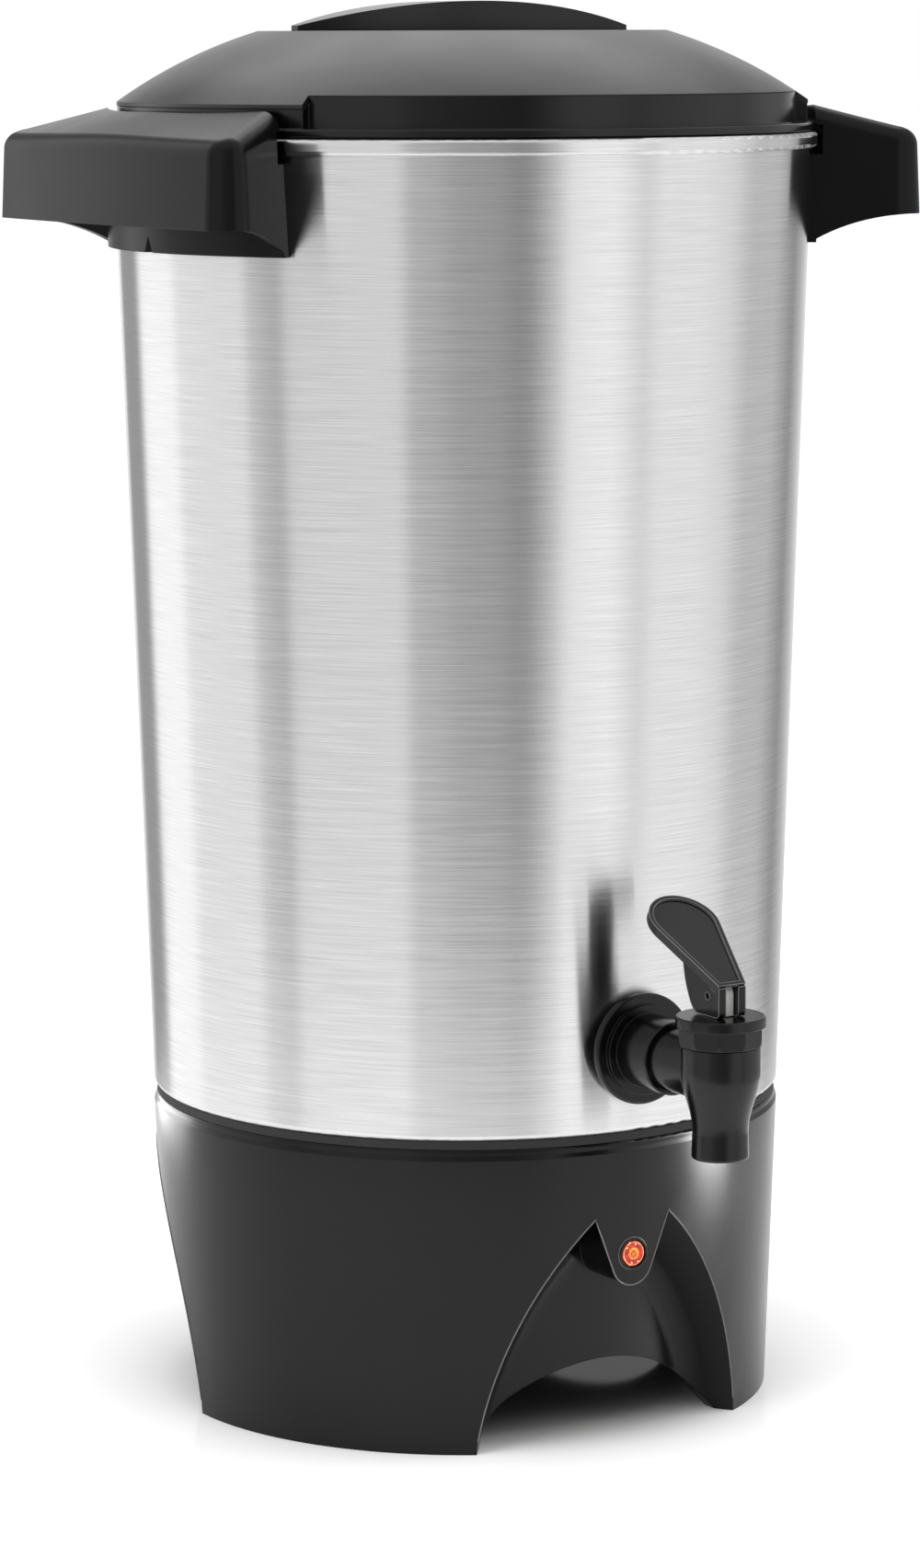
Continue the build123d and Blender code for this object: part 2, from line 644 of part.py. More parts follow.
def top_edge(outward):
    """Edge across the handle's sloping top, outward of the inner edge by a share of its width."""
    points = []
    for t in (-1.2, -0.6, 0.0, 0.6, 1.2):
        inner_y = HANDLE_INNER_HALF * t
        inner = (sqrt(HANDLE_INNER_R**2 - inner_y**2), inner_y, HANDLE_TOP_Z - HANDLE_SAG * (1 - t * t))
        outer = (HANDLE_REACH - HANDLE_BOW * t * t, HANDLE_HALF * t, handle_edge_z)
        points.append(tuple(a + (b - a) * outward for a, b in zip(inner, outer)))
    return Edge.make_spline([Vector(*p) for p in points])


handle_top_face = Face.make_surface_from_curves(top_edge(-0.9), top_edge(1.3))


def handle_stock(inset=0.0):
    """Solid of the handle's plan up to its sloping top, with the walls moved in by inset."""
    root_half = HANDLE_INNER_HALF - (handle_inner_x - HANDLE_ROOT_X) * wing_slope
    with BuildPart() as stock:
        with BuildSketch(Plane.XY.offset(HANDLE_FOOT_Z - inset)):
            with BuildLine():
                corner = (handle_outer_x, HANDLE_HALF)
                far_corner = (handle_outer_x, -HANDLE_HALF)
                ThreePointArc(far_corner, (HANDLE_REACH, 0), corner)
                Polyline(corner, (HANDLE_ROOT_X, root_half), (HANDLE_ROOT_X, -root_half), far_corner)
            plan = make_face()
            fillet(plan.vertices().sort_by(Axis.X)[-2:], HANDLE_CORNER)
            if inset:
                offset(amount=-inset)
        extrude(amount=handle_top_stock_z - HANDLE_FOOT_Z + inset, taper=HANDLE_DRAFT)
        above = 2 * handle_top_stock_z
        top = extrude(handle_top_face, amount=above, dir=(0, 0, 1), mode=Mode.PRIVATE)
        add(top.moved(Location((0, 0, -inset))), mode=Mode.SUBTRACT)
        if not inset:
            curved = [f for f in stock.faces() if f.geom_type != GeomType.PLANE]
            slope = max(curved, key=lambda f: f.normal_at().Z)
            rim = [e for e in slope.edges() if e.center().X > HANDLE_ROOT_X + HANDLE_WALL]
            fillet(rim, HANDLE_EDGE_ROUND)
    return stock.part


def inside_form(wall=0.0):
    """Form of the tank and its rim as the handle fits round them, grown by wall."""
    low_z = HANDLE_NOTCH_LOW_Z - wall
    top_z = HANDLE_NOTCH_TOP_Z + wall
    with BuildPart() as form:
        with BuildSketch(Plane.XZ):
            with BuildLine():
                Polyline(
                    (0, TANK_FOOT_Z),
                    (TANK_FOOT_R + wall, TANK_FOOT_Z),
                    (tank_r(low_z) + wall, low_z),
                    (HANDLE_NOTCH_R + wall, low_z),
                    (HANDLE_NOTCH_R + wall, top_z),
                    (HANDLE_INNER_R + wall, top_z),
                    (HANDLE_INNER_R + wall, handle_top_stock_z + 1),
                    (0, handle_top_stock_z + 1),
                    close=True,
                )
            make_face()
        revolve(axis=Axis.Z)
    return form.part


with BuildPart() as handle_right:
    add(handle_stock())
    plate_form = inside_form(HANDLE_WALL)
    with BuildPart(mode=Mode.PRIVATE) as room:
        add(handle_stock(HANDLE_WALL))
        add(plate_form, mode=Mode.SUBTRACT)
    add(room.part, mode=Mode.SUBTRACT)
    with BuildPart(mode=Mode.PRIVATE) as wing_cut:
        with BuildSketch(Plane.XZ):
            with BuildLine():
                outer = (HANDLE_REACH - HANDLE_SWEEP_INSET, HANDLE_GRIP_Z)
                inner = (HANDLE_SWEEP_IN_X, HANDLE_FOOT_Z)
                middle = ((outer[0] + inner[0]) / 2, (outer[1] + inner[1]) / 2 + HANDLE_SWEEP_RISE)
                ThreePointArc(outer, middle, inner)
                below = HANDLE_FOOT_Z - HANDLE_CORNER
                beyond = HANDLE_REACH + HANDLE_CORNER
                Polyline(inner, (inner[0], below), (beyond, below), (beyond, HANDLE_GRIP_Z), outer)
            make_face()
        extrude(amount=2 * HANDLE_HALF, both=True)
        add(plate_form, mode=Mode.SUBTRACT)
    add(wing_cut.part, mode=Mode.SUBTRACT)
    for turn in handle_screw_turns[:2]:
        with Locations(wall_plane(tank_r(SCREW_Z) - 1, turn, SCREW_Z)):
            Cylinder(SCREW_BOSS_R, SCREW_BOSS_LENGTH + 1, align=STAND)
    add(inside_form(), mode=Mode.SUBTRACT)
    for turn in handle_screw_turns[:2]:
        with Locations(wall_plane(tank_r(SCREW_Z), turn, SCREW_Z)):
            Cylinder(SCREW_R, 2 * SCREW_LENGTH, mode=Mode.SUBTRACT)
    with BuildSketch(Plane.YZ.offset(HANDLE_ROOT_X)):
        with BuildLine():
            half = DRAIN_NOTCH / 2
            notch = [(-half, HANDLE_FOOT_Z), (half, HANDLE_FOOT_Z), (0, HANDLE_FOOT_Z + DRAIN_NOTCH)]
            Polyline(*notch, close=True)
        make_face()
    extrude(amount=HANDLE_REACH - HANDLE_SWEEP_INSET - HANDLE_ROOT_X, mode=Mode.SUBTRACT)
save("handle_right", handle_right)

with BuildPart() as handle_left:
    add(mirror(handle_right.part, about=Plane.YZ))
save("handle_left", handle_left)

seal_wall = TANK_WALL + SEAL_EASE
with BuildPart() as tank_inside:
    with BuildSketch(Plane.XZ):
        with BuildLine():
            Polyline(
                (0, TANK_FOOT_Z + TANK_CORNER),
                (tank_r(TANK_FOOT_Z + TANK_CORNER) - seal_wall, TANK_FOOT_Z + TANK_CORNER),
                (tank_r(bead_z) - seal_wall, bead_z),
                (0, bead_z),
                close=True,
            )
        make_face()
    revolve(axis=Axis.Z)

washer_face_r = tank_r(SCREW_Z) - TANK_WALL - WASHER_T
with BuildPart() as handle_seals:
    for turn in handle_screw_turns:
        with Locations(wall_plane(washer_face_r, turn, SCREW_Z)):
            Cylinder(WASHER_R, 3 * WASHER_T, align=STAND)
            Cylinder(SCREW_R, 9 * WASHER_T, mode=Mode.SUBTRACT)
    add(tank_inside.part, mode=Mode.INTERSECT)
save("handle_seals", handle_seals)

with BuildPart() as handle_screws:
    for turn in handle_screw_turns:
        with Locations(wall_plane(washer_face_r, turn, SCREW_Z)):
            Cylinder(SCREW_R, SCREW_LENGTH, align=STAND)
            Cylinder(SCREW_HEAD_R, SCREW_HEAD_H, align=HANG)
save("handle_screws", handle_screws)

# ================================================================== tap
barrel_wide_z = BONNET_BOTTOM_Z - BARREL_BAND_H
barrel = Plane((0, -TAP_REACH, 0), x_dir=(1, 0, 0), z_dir=(0, -1, 0))
barrel_axis = Axis((0, -TAP_REACH, 0), (0, 0, 1))
shoulder_z = BONNET_BOTTOM_Z - GAP
with BuildPart() as tap_body:
    with BuildSketch(barrel):
        with BuildLine():
            Polyline((0, SPOUT_END_Z), (SPOUT_R, SPOUT_END_Z), (SPOUT_NECK_R, SPOUT_NECK_Z))
            Spline(
                (SPOUT_NECK_R, SPOUT_NECK_Z),
                (BARREL_R, barrel_wide_z),
                tangents=[(0, 1), (0, 1)],
            )
            Polyline(
                (BARREL_R, barrel_wide_z),
                (BARREL_R, shoulder_z),
                (THREAD_R, shoulder_z),
                (THREAD_R, BARREL_TOP_Z),
                (0, BARREL_TOP_Z),
                (0, SPOUT_END_Z),
            )
        make_face()
    revolve(axis=barrel_axis)
    fillet(tap_body.edges().group_by(Axis.Z)[0], 0.8)
    with Locations(wall_plane(COLLAR_END - COLLAR_SEAT, 0, TAP_Z)):
        Cylinder(ARM_R, TAP_REACH - COLLAR_END + COLLAR_SEAT, align=STAND)
    with Locations(wall_plane(SHANK_END, 0, TAP_Z)):
        Cylinder(SHANK_R, TAP_REACH - SHANK_END, align=STAND)
    with BuildSketch(Plane.XY.offset(shoulder_z)):
        with Locations((0, -TAP_REACH)):
            Circle(BONNET_R + GAP)
            Circle(THREAD_R, mode=Mode.SUBTRACT)
    extrude(amount=ARM_R, mode=Mode.SUBTRACT)
    with Locations((0, -TAP_REACH, VALVE_SEAT_Z)):
        Cylinder(BARREL_BORE_R, BARREL_TOP_Z, align=STAND, mode=Mode.SUBTRACT)
        Cylinder(SPOUT_BORE_R, 3 * (VALVE_SEAT_Z - SPOUT_END_Z), mode=Mode.SUBTRACT)
    with Locations(wall_plane(SHANK_END, 0, TAP_Z)):
        Cylinder(SHANK_BORE_R, TAP_REACH - SHANK_END, align=STAND, mode=Mode.SUBTRACT)
save("tap_body", tap_body)

collar_face_r = tank_r(TAP_Z) + SEAL_T
collar_length = COLLAR_END - collar_face_r
with BuildPart() as tap_collar:
    with Locations(wall_plane(collar_face_r, 0, TAP_Z)):
        Cylinder(COLLAR_FLANGE_R, COLLAR_FLANGE_T, align=STAND)
        Cylinder(COLLAR_STEP_R, COLLAR_FLANGE_T + COLLAR_STEP_T, align=STAND)
        Cylinder(COLLAR_R, collar_length, align=STAND)
    fillet(tap_collar.edges().filter_by(GeomType.CIRCLE).group_by(Axis.Y)[0], 0.6)
    flange_edges = tap_collar.edges().filter_by(GeomType.CIRCLE)
    fillet([e for e in flange_edges if abs(e.radius - COLLAR_FLANGE_R) < 0.01], 0.8)
    with Locations(wall_plane(collar_face_r, 0, TAP_Z)):
        Cylinder(SHANK_R, 3 * collar_length, mode=Mode.SUBTRACT)
    with Locations(wall_plane(COLLAR_END, 0, TAP_Z)):
        Cylinder(ARM_R, COLLAR_SEAT, align=HANG, mode=Mode.SUBTRACT)
save("tap_collar", tap_collar)

with BuildPart() as tap_outer_seal:
    with Locations(wall_plane(collar_face_r, 0, TAP_Z)):
        Cylinder(SEAL_R, 3 * SEAL_T, align=HANG)
        Cylinder(SHANK_R, 9 * SEAL_T, mode=Mode.SUBTRACT)
    add(inside_form(), mode=Mode.SUBTRACT)
save("tap_outer_seal", tap_outer_seal)

seal_face_r = tank_r(TAP_Z) - TANK_WALL - SEAL_T
with BuildPart() as tap_inner_seal:
    with Locations(wall_plane(seal_face_r, 0, TAP_Z)):
        Cylinder(SEAL_R, 3 * SEAL_T, align=STAND)
        Cylinder(SHANK_R, 9 * SEAL_T, mode=Mode.SUBTRACT)
    add(tank_inside.part, mode=Mode.INTERSECT)
save("tap_inner_seal", tap_inner_seal)

with BuildPart() as tap_nut:
    with BuildSketch(wall_plane(seal_face_r, 0, TAP_Z)):
        RegularPolygon(NUT_ACROSS / 2, 6, major_radius=False)
        Circle(SHANK_R, mode=Mode.SUBTRACT)
    extrude(amount=-NUT_T)
save("tap_nut", tap_nut)

bonnet_under_z = BONNET_TOP_Z - BONNET_CAP_T
flats_top_z = BONNET_TOP_Z - BONNET_CAP_T * 0.8
with BuildPart() as tap_bonnet:
    with BuildSketch(barrel):
        with BuildLine():
            Polyline(
                (0, BONNET_BOTTOM_Z),
                (BONNET_LOW_R, BONNET_BOTTOM_Z),
                (BONNET_R, flats_top_z),
                (BONNET_R, BONNET_TOP_Z),
                (0, BONNET_TOP_Z),
                close=True,
            )
        make_face()
    revolve(axis=barrel_axis)
    fillet(tap_bonnet.edges().group_by(Axis.Z)[-1], 0.7)
    flat_r = BONNET_LOW_R * cos(radians(180 / BONNET_FLATS)) + GAP
    with BuildPart(mode=Mode.PRIVATE) as ring:
        with BuildSketch(Plane.XY.offset(BONNET_BOTTOM_Z)):
            with Locations((0, -TAP_REACH)):
                Circle(2 * BONNET_R)
                RegularPolygon(flat_r, BONNET_FLATS, rotation=18, major_radius=False, mode=Mode.SUBTRACT)
        extrude(amount=flats_top_z - BONNET_BOTTOM_Z)
    add(ring.part, mode=Mode.SUBTRACT)
    with Locations((0, -TAP_REACH, bonnet_under_z)):
        Cylinder(THREAD_R, BONNET_TOP_Z - BONNET_BOTTOM_Z, align=HANG, mode=Mode.SUBTRACT)
        Cylinder(STEM_R + FIT, 3 * BONNET_CAP_T, mode=Mode.SUBTRACT)
save("tap_bonnet", tap_bonnet)

pin_z = BONNET_TOP_Z + PIN_HEIGHT
cup_z = VALVE_SEAT_Z + SEAT_GAP
pin_plane = Plane((0, -TAP_REACH, pin_z), x_dir=(0, 1, 0), z_dir=(1, 0, 0))
with BuildPart() as tap_stem:
    with Locations((0, -TAP_REACH, cup_z + CUP_H - STEM_PLUG)):
        Cylinder(STEM_R, pin_z - PIN_HEIGHT - cup_z - CUP_H + STEM_PLUG + 1, align=STAND)
    with Locations((0, -TAP_REACH, cup_z + CUP_H)):
        Cylinder(STEM_FLANGE_R, STEM_FLANGE_T, align=STAND)
    with BuildSketch(pin_plane):
        Circle(EYE_R)
        with Locations((0, 0)):
            Rectangle(EYE_R, PIN_HEIGHT - GAP, align=(Align.MAX, Align.MAX))
            Rectangle(EYE_BACK, PIN_HEIGHT - GAP, align=(Align.MIN, Align.MAX))
        Circle(PIN_R + FIT, mode=Mode.SUBTRACT)
    extrude(amount=EYE_T / 2, both=True)
save("tap_stem", tap_stem)

with BuildPart() as tap_seat_cup:
    with Locations((0, -TAP_REACH, cup_z)):
        Cylinder(CUP_R, CUP_H, align=STAND)
    fillet(tap_seat_cup.edges().group_by(Axis.Z)[0], 0.8)
    with Locations((0, -TAP_REACH, cup_z + CUP_H)):
        Cylinder(STEM_R, STEM_PLUG, align=HANG, mode=Mode.SUBTRACT)
save("tap_seat_cup", tap_seat_cup)

spring_low_z = cup_z + CUP_H + STEM_FLANGE_T + SPRING_WIRE_R
spring_length = bonnet_under_z - SPRING_WIRE_R - spring_low_z
with BuildPart() as tap_spring:
    with BuildLine():
        coil = Helix(
            pitch=spring_length / SPRING_TURNS,
            height=spring_length,
            radius=SPRING_R,
            center=(0, -TAP_REACH, spring_low_z),
        )
    with BuildSketch(Plane(coil @ 0, z_dir=coil % 0)):
        Circle(SPRING_WIRE_R * 0.95)
    sweep(is_frenet=True)
save("tap_spring", tap_spring)

lever_top = LEVER_HEAD_Z - PIN_HEIGHT
lever_foot = -(PIN_HEIGHT - GAP)
rise = radians(PADDLE_RISE)
paddle_plane = Plane(
    (0, -TAP_REACH - LEVER_FRONT, pin_z + lever_top),
    x_dir=(1, 0, 0),
    z_dir=(0, -sin(rise), cos(rise)),
)
with BuildPart() as paddle:
    with BuildSketch(paddle_plane):
        with BuildLine():
            root_half = LEVER_WIDTH / 2
            end_at = PADDLE_LENGTH - PADDLE_HALF
            reach = hypot(root_half, end_at)
            angle = atan2(end_at, -root_half) - asin(PADDLE_HALF / reach)
            along = sqrt(reach**2 - PADDLE_HALF**2)
            touch = (root_half + along * cos(angle), along * sin(angle))
            Polyline((-touch[0], touch[1]), (-root_half, 0), (root_half, 0), touch)
            ThreePointArc(touch, (0, PADDLE_LENGTH), (-touch[0], touch[1]))
        make_face()
    extrude(amount=-PADDLE_T)
    under = paddle.faces().sort_by(Axis(paddle_plane.origin, paddle_plane.z_dir))[0]
    fillet(under.edges().sort_by(Axis.Y)[1:], PADDLE_ROUND)
    with BuildSketch(paddle_plane):
        with BuildLine():
            Polyline((-touch[0], touch[1]), (-root_half, 0), (root_half, 0), touch)
            ThreePointArc(touch, (0, PADDLE_LENGTH), (-touch[0], touch[1]))
        make_face()
        offset(amount=-PADDLE_RIM)
    extrude(amount=-PADDLE_DISH, mode=Mode.SUBTRACT)

with BuildPart() as tap_lever:
    with BuildSketch(pin_plane):
        with BuildLine():
            back_top = lever_top + (LEVER_BACK + LEVER_FRONT) * tan(rise) - PADDLE_T / 2
            Polyline(
                (LEVER_BACK, back_top),
                (-LEVER_FRONT, lever_top - PADDLE_DISH * 1.5),
                (-LEVER_FRONT, lever_foot),
                (LEVER_FOOT_BACK, lever_foot),
            )
            Spline(
                (LEVER_FOOT_BACK, lever_foot),
                (LEVER_FOOT_BACK + 4.2, lever_foot + 4.2),
                (LEVER_BACK, back_top),
                tangents=[(1, 0.3), (0, 1)],
            )
        block = make_face()
        heel = block.vertices().sort_by_distance((-LEVER_FRONT, lever_foot, 0))[0]
        fillet(heel, LEVER_HEEL_R)
    extrude(amount=LEVER_WIDTH / 2, both=True)
    add(paddle.part)
    with BuildSketch(pin_plane):
        Circle(EYE_R + GAP)
        Rectangle(LEVER_FRONT + 1, EYE_R - GAP, align=(Align.MAX, Align.MIN))
        Rectangle(LEVER_FRONT + 1, PIN_HEIGHT + 1, align=(Align.MAX, Align.MAX))
        Rectangle(EYE_BACK + 2 * GAP, PIN_HEIGHT + 1, align=(Align.MIN, Align.MAX))
    extrude(amount=LEVER_SLOT / 2, both=True, mode=Mode.SUBTRACT)
    with BuildSketch(pin_plane):
        Circle(PIN_R)
    extrude(amount=LEVER_WIDTH, both=True, mode=Mode.SUBTRACT)
save("tap_lever", tap_lever)

with BuildPart() as lever_pin:
    with BuildSketch(pin_plane):
        Circle(PIN_R)
    extrude(amount=LEVER_WIDTH / 2 - 0.4, both=True)
save("lever_pin", lever_pin)

# ================================================================== lid
lid_top_z = RIM_Z + LID_RISE
lid_ear_z = lid_top_z - LID_EAR_DROP
lid_edge_z = lid_top_z - LID_EDGE_DROP
lip_z = lid_ear_z - LID_EAR_LIP
lid_floor_z = lid_top_z - LID_WELL_DEPTH
flange_z = RIM_Z + GAP
flange_top_z = flange_z + FLANGE_T
bulge_at = ((LID_TOP_R + LID_EAR_R) / 2, (lid_top_z + lid_ear_z) / 2 + LID_BULGE)


def under_dome_lines(shell):
    """Outline of the dome from the well out to the ears, moved down and in by shell."""
    top = lid_top_z - shell
    inner_top_r = LID_TOP_R - shell * 0.3
    Polyline((WELL_TOP_R + shell, top), (inner_top_r, top))
    ThreePointArc(
        (inner_top_r, top),
        (bulge_at[0] - shell * 0.5, bulge_at[1] - shell),
        (LID_EAR_R - shell, lid_ear_z - shell * 0.6),
    )


def ear_sectors(r_in, r_out, low_z, high_z):
    """Two ring sectors over the handles, between two radii."""
    with BuildPart() as sectors:
        with BuildSketch(Plane.XY.offset(low_z)):
            spread = 2 * r_out * tan(radians(LID_EAR_HALF_ANGLE))
            Polygon((0, 0), (2 * r_out, spread), (2 * r_out, -spread), align=None)
            Polygon((0, 0), (-2 * r_out, -spread), (-2 * r_out, spread), align=None)
            Circle(r_out, mode=Mode.INTERSECT)
            Circle(r_in, mode=Mode.SUBTRACT)
        extrude(amount=high_z - low_z)
    return sectors.part


with BuildPart() as dome_room:
    with BuildSketch(Plane.XZ):
        with BuildLine():
            under_dome_lines(LID_SHELL)
            Polyline(
                (LID_EAR_R - LID_SHELL, lid_ear_z - LID_SHELL * 0.6),
                (LID_EAR_R - LID_SHELL, lip_z),
                (FLANGE_R + 1, lip_z),
                (FLANGE_R + 1, RIM_Z - 2 * LOCATOR_DEPTH),
                (0, RIM_Z - 2 * LOCATOR_DEPTH),
                (0, lid_floor_z - LID_SHELL),
                (WELL_FOOT_R + LID_SHELL, lid_floor_z - LID_SHELL),
                (WELL_TOP_R + LID_SHELL, lid_top_z - LID_SHELL),
            )
        make_face()
    revolve(axis=Axis.Z)

band_inner_r = BAND_R - 2 * LOCATOR_T
with BuildPart() as band_room:
    Cylinder(LID_EAR_R + 1, 2 * lid_top_z)
    Cylinder(LID_EDGE_R, 2 * lid_top_z, mode=Mode.SUBTRACT)
    with Locations((0, 0, lid_edge_z)):
        Cylinder(LID_EDGE_R, lid_top_z, align=HANG)
    Cylinder(band_inner_r, 2 * lid_top_z, mode=Mode.SUBTRACT)
    add(ear_sectors(band_inner_r / 2, LID_EAR_R + 2, -lid_top_z, lid_top_z), mode=Mode.SUBTRACT)

with BuildPart() as lid_dome:
    with BuildSketch(Plane.XZ):
        with BuildLine():
            under_dome_lines(0.0)
            Polyline(
                (LID_EAR_R, lid_ear_z),
                (LID_EAR_R, lip_z),
                (0, lip_z),
                (0, lid_floor_z),
                (WELL_FOOT_R, lid_floor_z),
                (WELL_TOP_R, lid_top_z),
            )
        make_face()
    revolve(axis=Axis.Z)
    add(band_room.part, mode=Mode.SUBTRACT)
    add(dome_room.part, mode=Mode.SUBTRACT)
    for side in (1, -1):
        with Locations((side * POST_AT, 0, lid_floor_z)):
            Cylinder(LID_SCREW_R + GAP / 2, 4 * LID_SHELL, mode=Mode.SUBTRACT)
save("lid_dome", lid_dome)

locator_r = tank_r(RIM_Z - LOCATOR_DEPTH) - TANK_WALL - 2 * GAP
with BuildPart() as lid_base:
    with Locations((0, 0, flange_z)):
        Cylinder(FLANGE_R, FLANGE_T, align=STAND)
        Cylinder(locator_r, LOCATOR_DEPTH, align=HANG)
    flange_edges = lid_base.edges().filter_by(GeomType.CIRCLE)
    fillet([e for e in flange_edges if e.radius > FLANGE_R - 0.1], FLANGE_T * 0.3)
    with Locations((0, 0, flange_z)):
        Cylinder(BAND_R, lid_top_z - flange_z, align=STAND)
    add(ear_sectors(BAND_R - 1, EAR_BLOCK_R, flange_z + FLANGE_T / 2, lid_top_z))
    add(dome_room.part, mode=Mode.INTERSECT)
    with BuildPart(mode=Mode.PRIVATE) as band:
        with Locations((0, 0, flange_z)):
            Cylinder(BAND_R, lid_edge_z - flange_z, align=STAND)
        add(band_room.part, mode=Mode.INTERSECT)
    add(band.part)
    with Locations((0, 0, flange_top_z)):
        Cylinder(band_inner_r, lid_top_z, align=STAND, mode=Mode.SUBTRACT)
    with Locations((0, 0, flange_z)):
        Cylinder(locator_r - LOCATOR_T, LOCATOR_DEPTH, align=HANG, mode=Mode.SUBTRACT)
save("lid_base", lid_base)

with BuildPart() as lid_grip:
    with BuildSketch(Plane.XY.offset(lid_top_z)):
        with BuildLine():
            ends = [(x * GRIP_HALF, y * GRIP_BLUNT) for x, y in ((-1, -1), (1, -1), (1, 1), (-1, 1))]
            ThreePointArc(ends[0], (0, -GRIP_HALF_WIDTH), ends[1])
            Line(ends[1], ends[2])
            ThreePointArc(ends[2], (0, GRIP_HALF_WIDTH), ends[3])
            Line(ends[3], ends[0])
        make_face()
    extrude(amount=GRIP_RISE)
    with BuildPart(mode=Mode.PRIVATE) as side_view:
        with BuildSketch(Plane.XZ):
            with BuildLine():
                tip = (GRIP_HALF, lid_top_z + GRIP_END_H)
                far_tip = (-tip[0], tip[1])
                ThreePointArc(far_tip, (0, lid_top_z + GRIP_RISE), tip)
                Polyline(tip, (tip[0], lid_top_z), (far_tip[0], lid_top_z), far_tip)
            make_face()
        extrude(amount=2 * GRIP_HALF_WIDTH, both=True)
    add(side_view.part, mode=Mode.INTERSECT)
    for side in (1, -1):
        with Locations((side * POST_AT, 0, lid_floor_z)):
            Cylinder(POST_R, LID_WELL_DEPTH + GRIP_END_H, align=STAND)
            Cylinder(LID_SCREW_R, LID_SCREW_DEPTH, align=STAND, mode=Mode.SUBTRACT)
save("lid_grip", lid_grip)

with BuildPart() as lid_screws:
    for side in (1, -1):
        with Locations((side * POST_AT, 0, lid_floor_z - LID_SHELL)):
            Cylinder(LID_SCREW_R, LID_SCREW_DEPTH, align=STAND)
            Cylinder(LID_SCREW_R * 2, LID_SCREW_R, align=HANG)
save("lid_screws", lid_screws)

# ================================================================== percolator
foot_z = well_z + TANK_WALL + GAP
tube_foot_z = foot_z + PUMP_FOOT_H
with BuildPart() as pump_foot:
    with BuildSketch(Plane.XZ):
        with BuildLine():
            Polyline(
                (PUMP_FOOT_R - PUMP_FOOT_T, foot_z),
                (PUMP_FOOT_R, foot_z),
                (PUMP_FOOT_R, foot_z + PUMP_SLOT_H),
                (TUBE_R + PUMP_FOOT_T, tube_foot_z),
                (TUBE_R + PUMP_FOOT_T, tube_foot_z + PUMP_FOOT_H / 2),
                (TUBE_R, tube_foot_z + PUMP_FOOT_H / 2),
                (TUBE_R, tube_foot_z - PUMP_FOOT_T),
                (PUMP_FOOT_R - PUMP_FOOT_T, foot_z + PUMP_SLOT_H),
                close=True,
            )
        make_face()
    revolve(axis=Axis.Z)
    with Locations((0, 0, foot_z)):
        Box(3 * PUMP_FOOT_R, PUMP_SLOT_W, PUMP_SLOT_H * 2, mode=Mode.SUBTRACT)
        Box(PUMP_SLOT_W, 3 * PUMP_FOOT_R, PUMP_SLOT_H * 2, mode=Mode.SUBTRACT)
save("pump_foot", pump_foot)

bell_slope = (PUMP_FOOT_R - PUMP_FOOT_T - TUBE_R) / (PUMP_FOOT_H - PUMP_FOOT_T - PUMP_SLOT_H)
valve_r = PUMP_FOOT_R - PUMP_FOOT_T - bell_slope * (VALVE_Z + VALVE_T - foot_z - PUMP_SLOT_H)
with BuildPart() as pump_valve:
    with BuildSketch(Plane.XY.offset(VALVE_Z)):
        Circle(valve_r)
        with PolarLocations(valve_r * 0.6, 6):
            Circle(valve_r * 0.15, mode=Mode.SUBTRACT)
    extrude(amount=VALVE_T)
save("pump_valve", pump_valve)

with BuildPart() as pump_tube:
    with Locations((0, 0, tube_foot_z - PUMP_FOOT_T)):
        Cylinder(TUBE_R, TUBE_TOP_Z - tube_foot_z + PUMP_FOOT_T, align=STAND)
    with Locations((0, 0, BASKET_Z - GAP)):
        Cylinder(STOP_R, STOP_T, align=HANG)
    Cylinder(TUBE_R - TUBE_WALL, 3 * TUBE_TOP_Z, mode=Mode.SUBTRACT)
save("pump_tube", pump_tube)

basket_top_r = BASKET_R + BASKET_DRAFT * BASKET_H
hub_bore_r = TUBE_R + GAP
with BuildPart() as brew_basket:
    with BuildSketch(Plane.XZ):
        with BuildLine():
            Polyline(
                (hub_bore_r, BASKET_Z),
                (BASKET_R, BASKET_Z),
                (basket_top_r, BASKET_Z + BASKET_H),
                (basket_top_r - BASKET_WALL, BASKET_Z + BASKET_H),
                (BASKET_R - BASKET_WALL, BASKET_Z + BASKET_WALL),
                (hub_bore_r + BASKET_WALL, BASKET_Z + BASKET_WALL),
                (hub_bore_r + BASKET_WALL, BASKET_Z + HUB_H),
                (hub_bore_r, BASKET_Z + HUB_H),
                close=True,
            )
        make_face()
    revolve(axis=Axis.Z)
    with BuildSketch(Plane.XY.offset(BASKET_Z + BASKET_H)):
        Circle(basket_top_r + BASKET_LIP)
        Circle(basket_top_r - BASKET_WALL, mode=Mode.SUBTRACT)
    extrude(amount=-BASKET_WALL)
    with BuildSketch(Plane.XY.offset(BASKET_Z)):
        for ring_r, count in zip(BASKET_RING_RADII, BASKET_HOLE_COUNTS):
            with PolarLocations(ring_r, count):
                Circle(BASKET_HOLE_R)
    extrude(amount=BASKET_WALL, mode=Mode.SUBTRACT)
save("brew_basket", brew_basket)

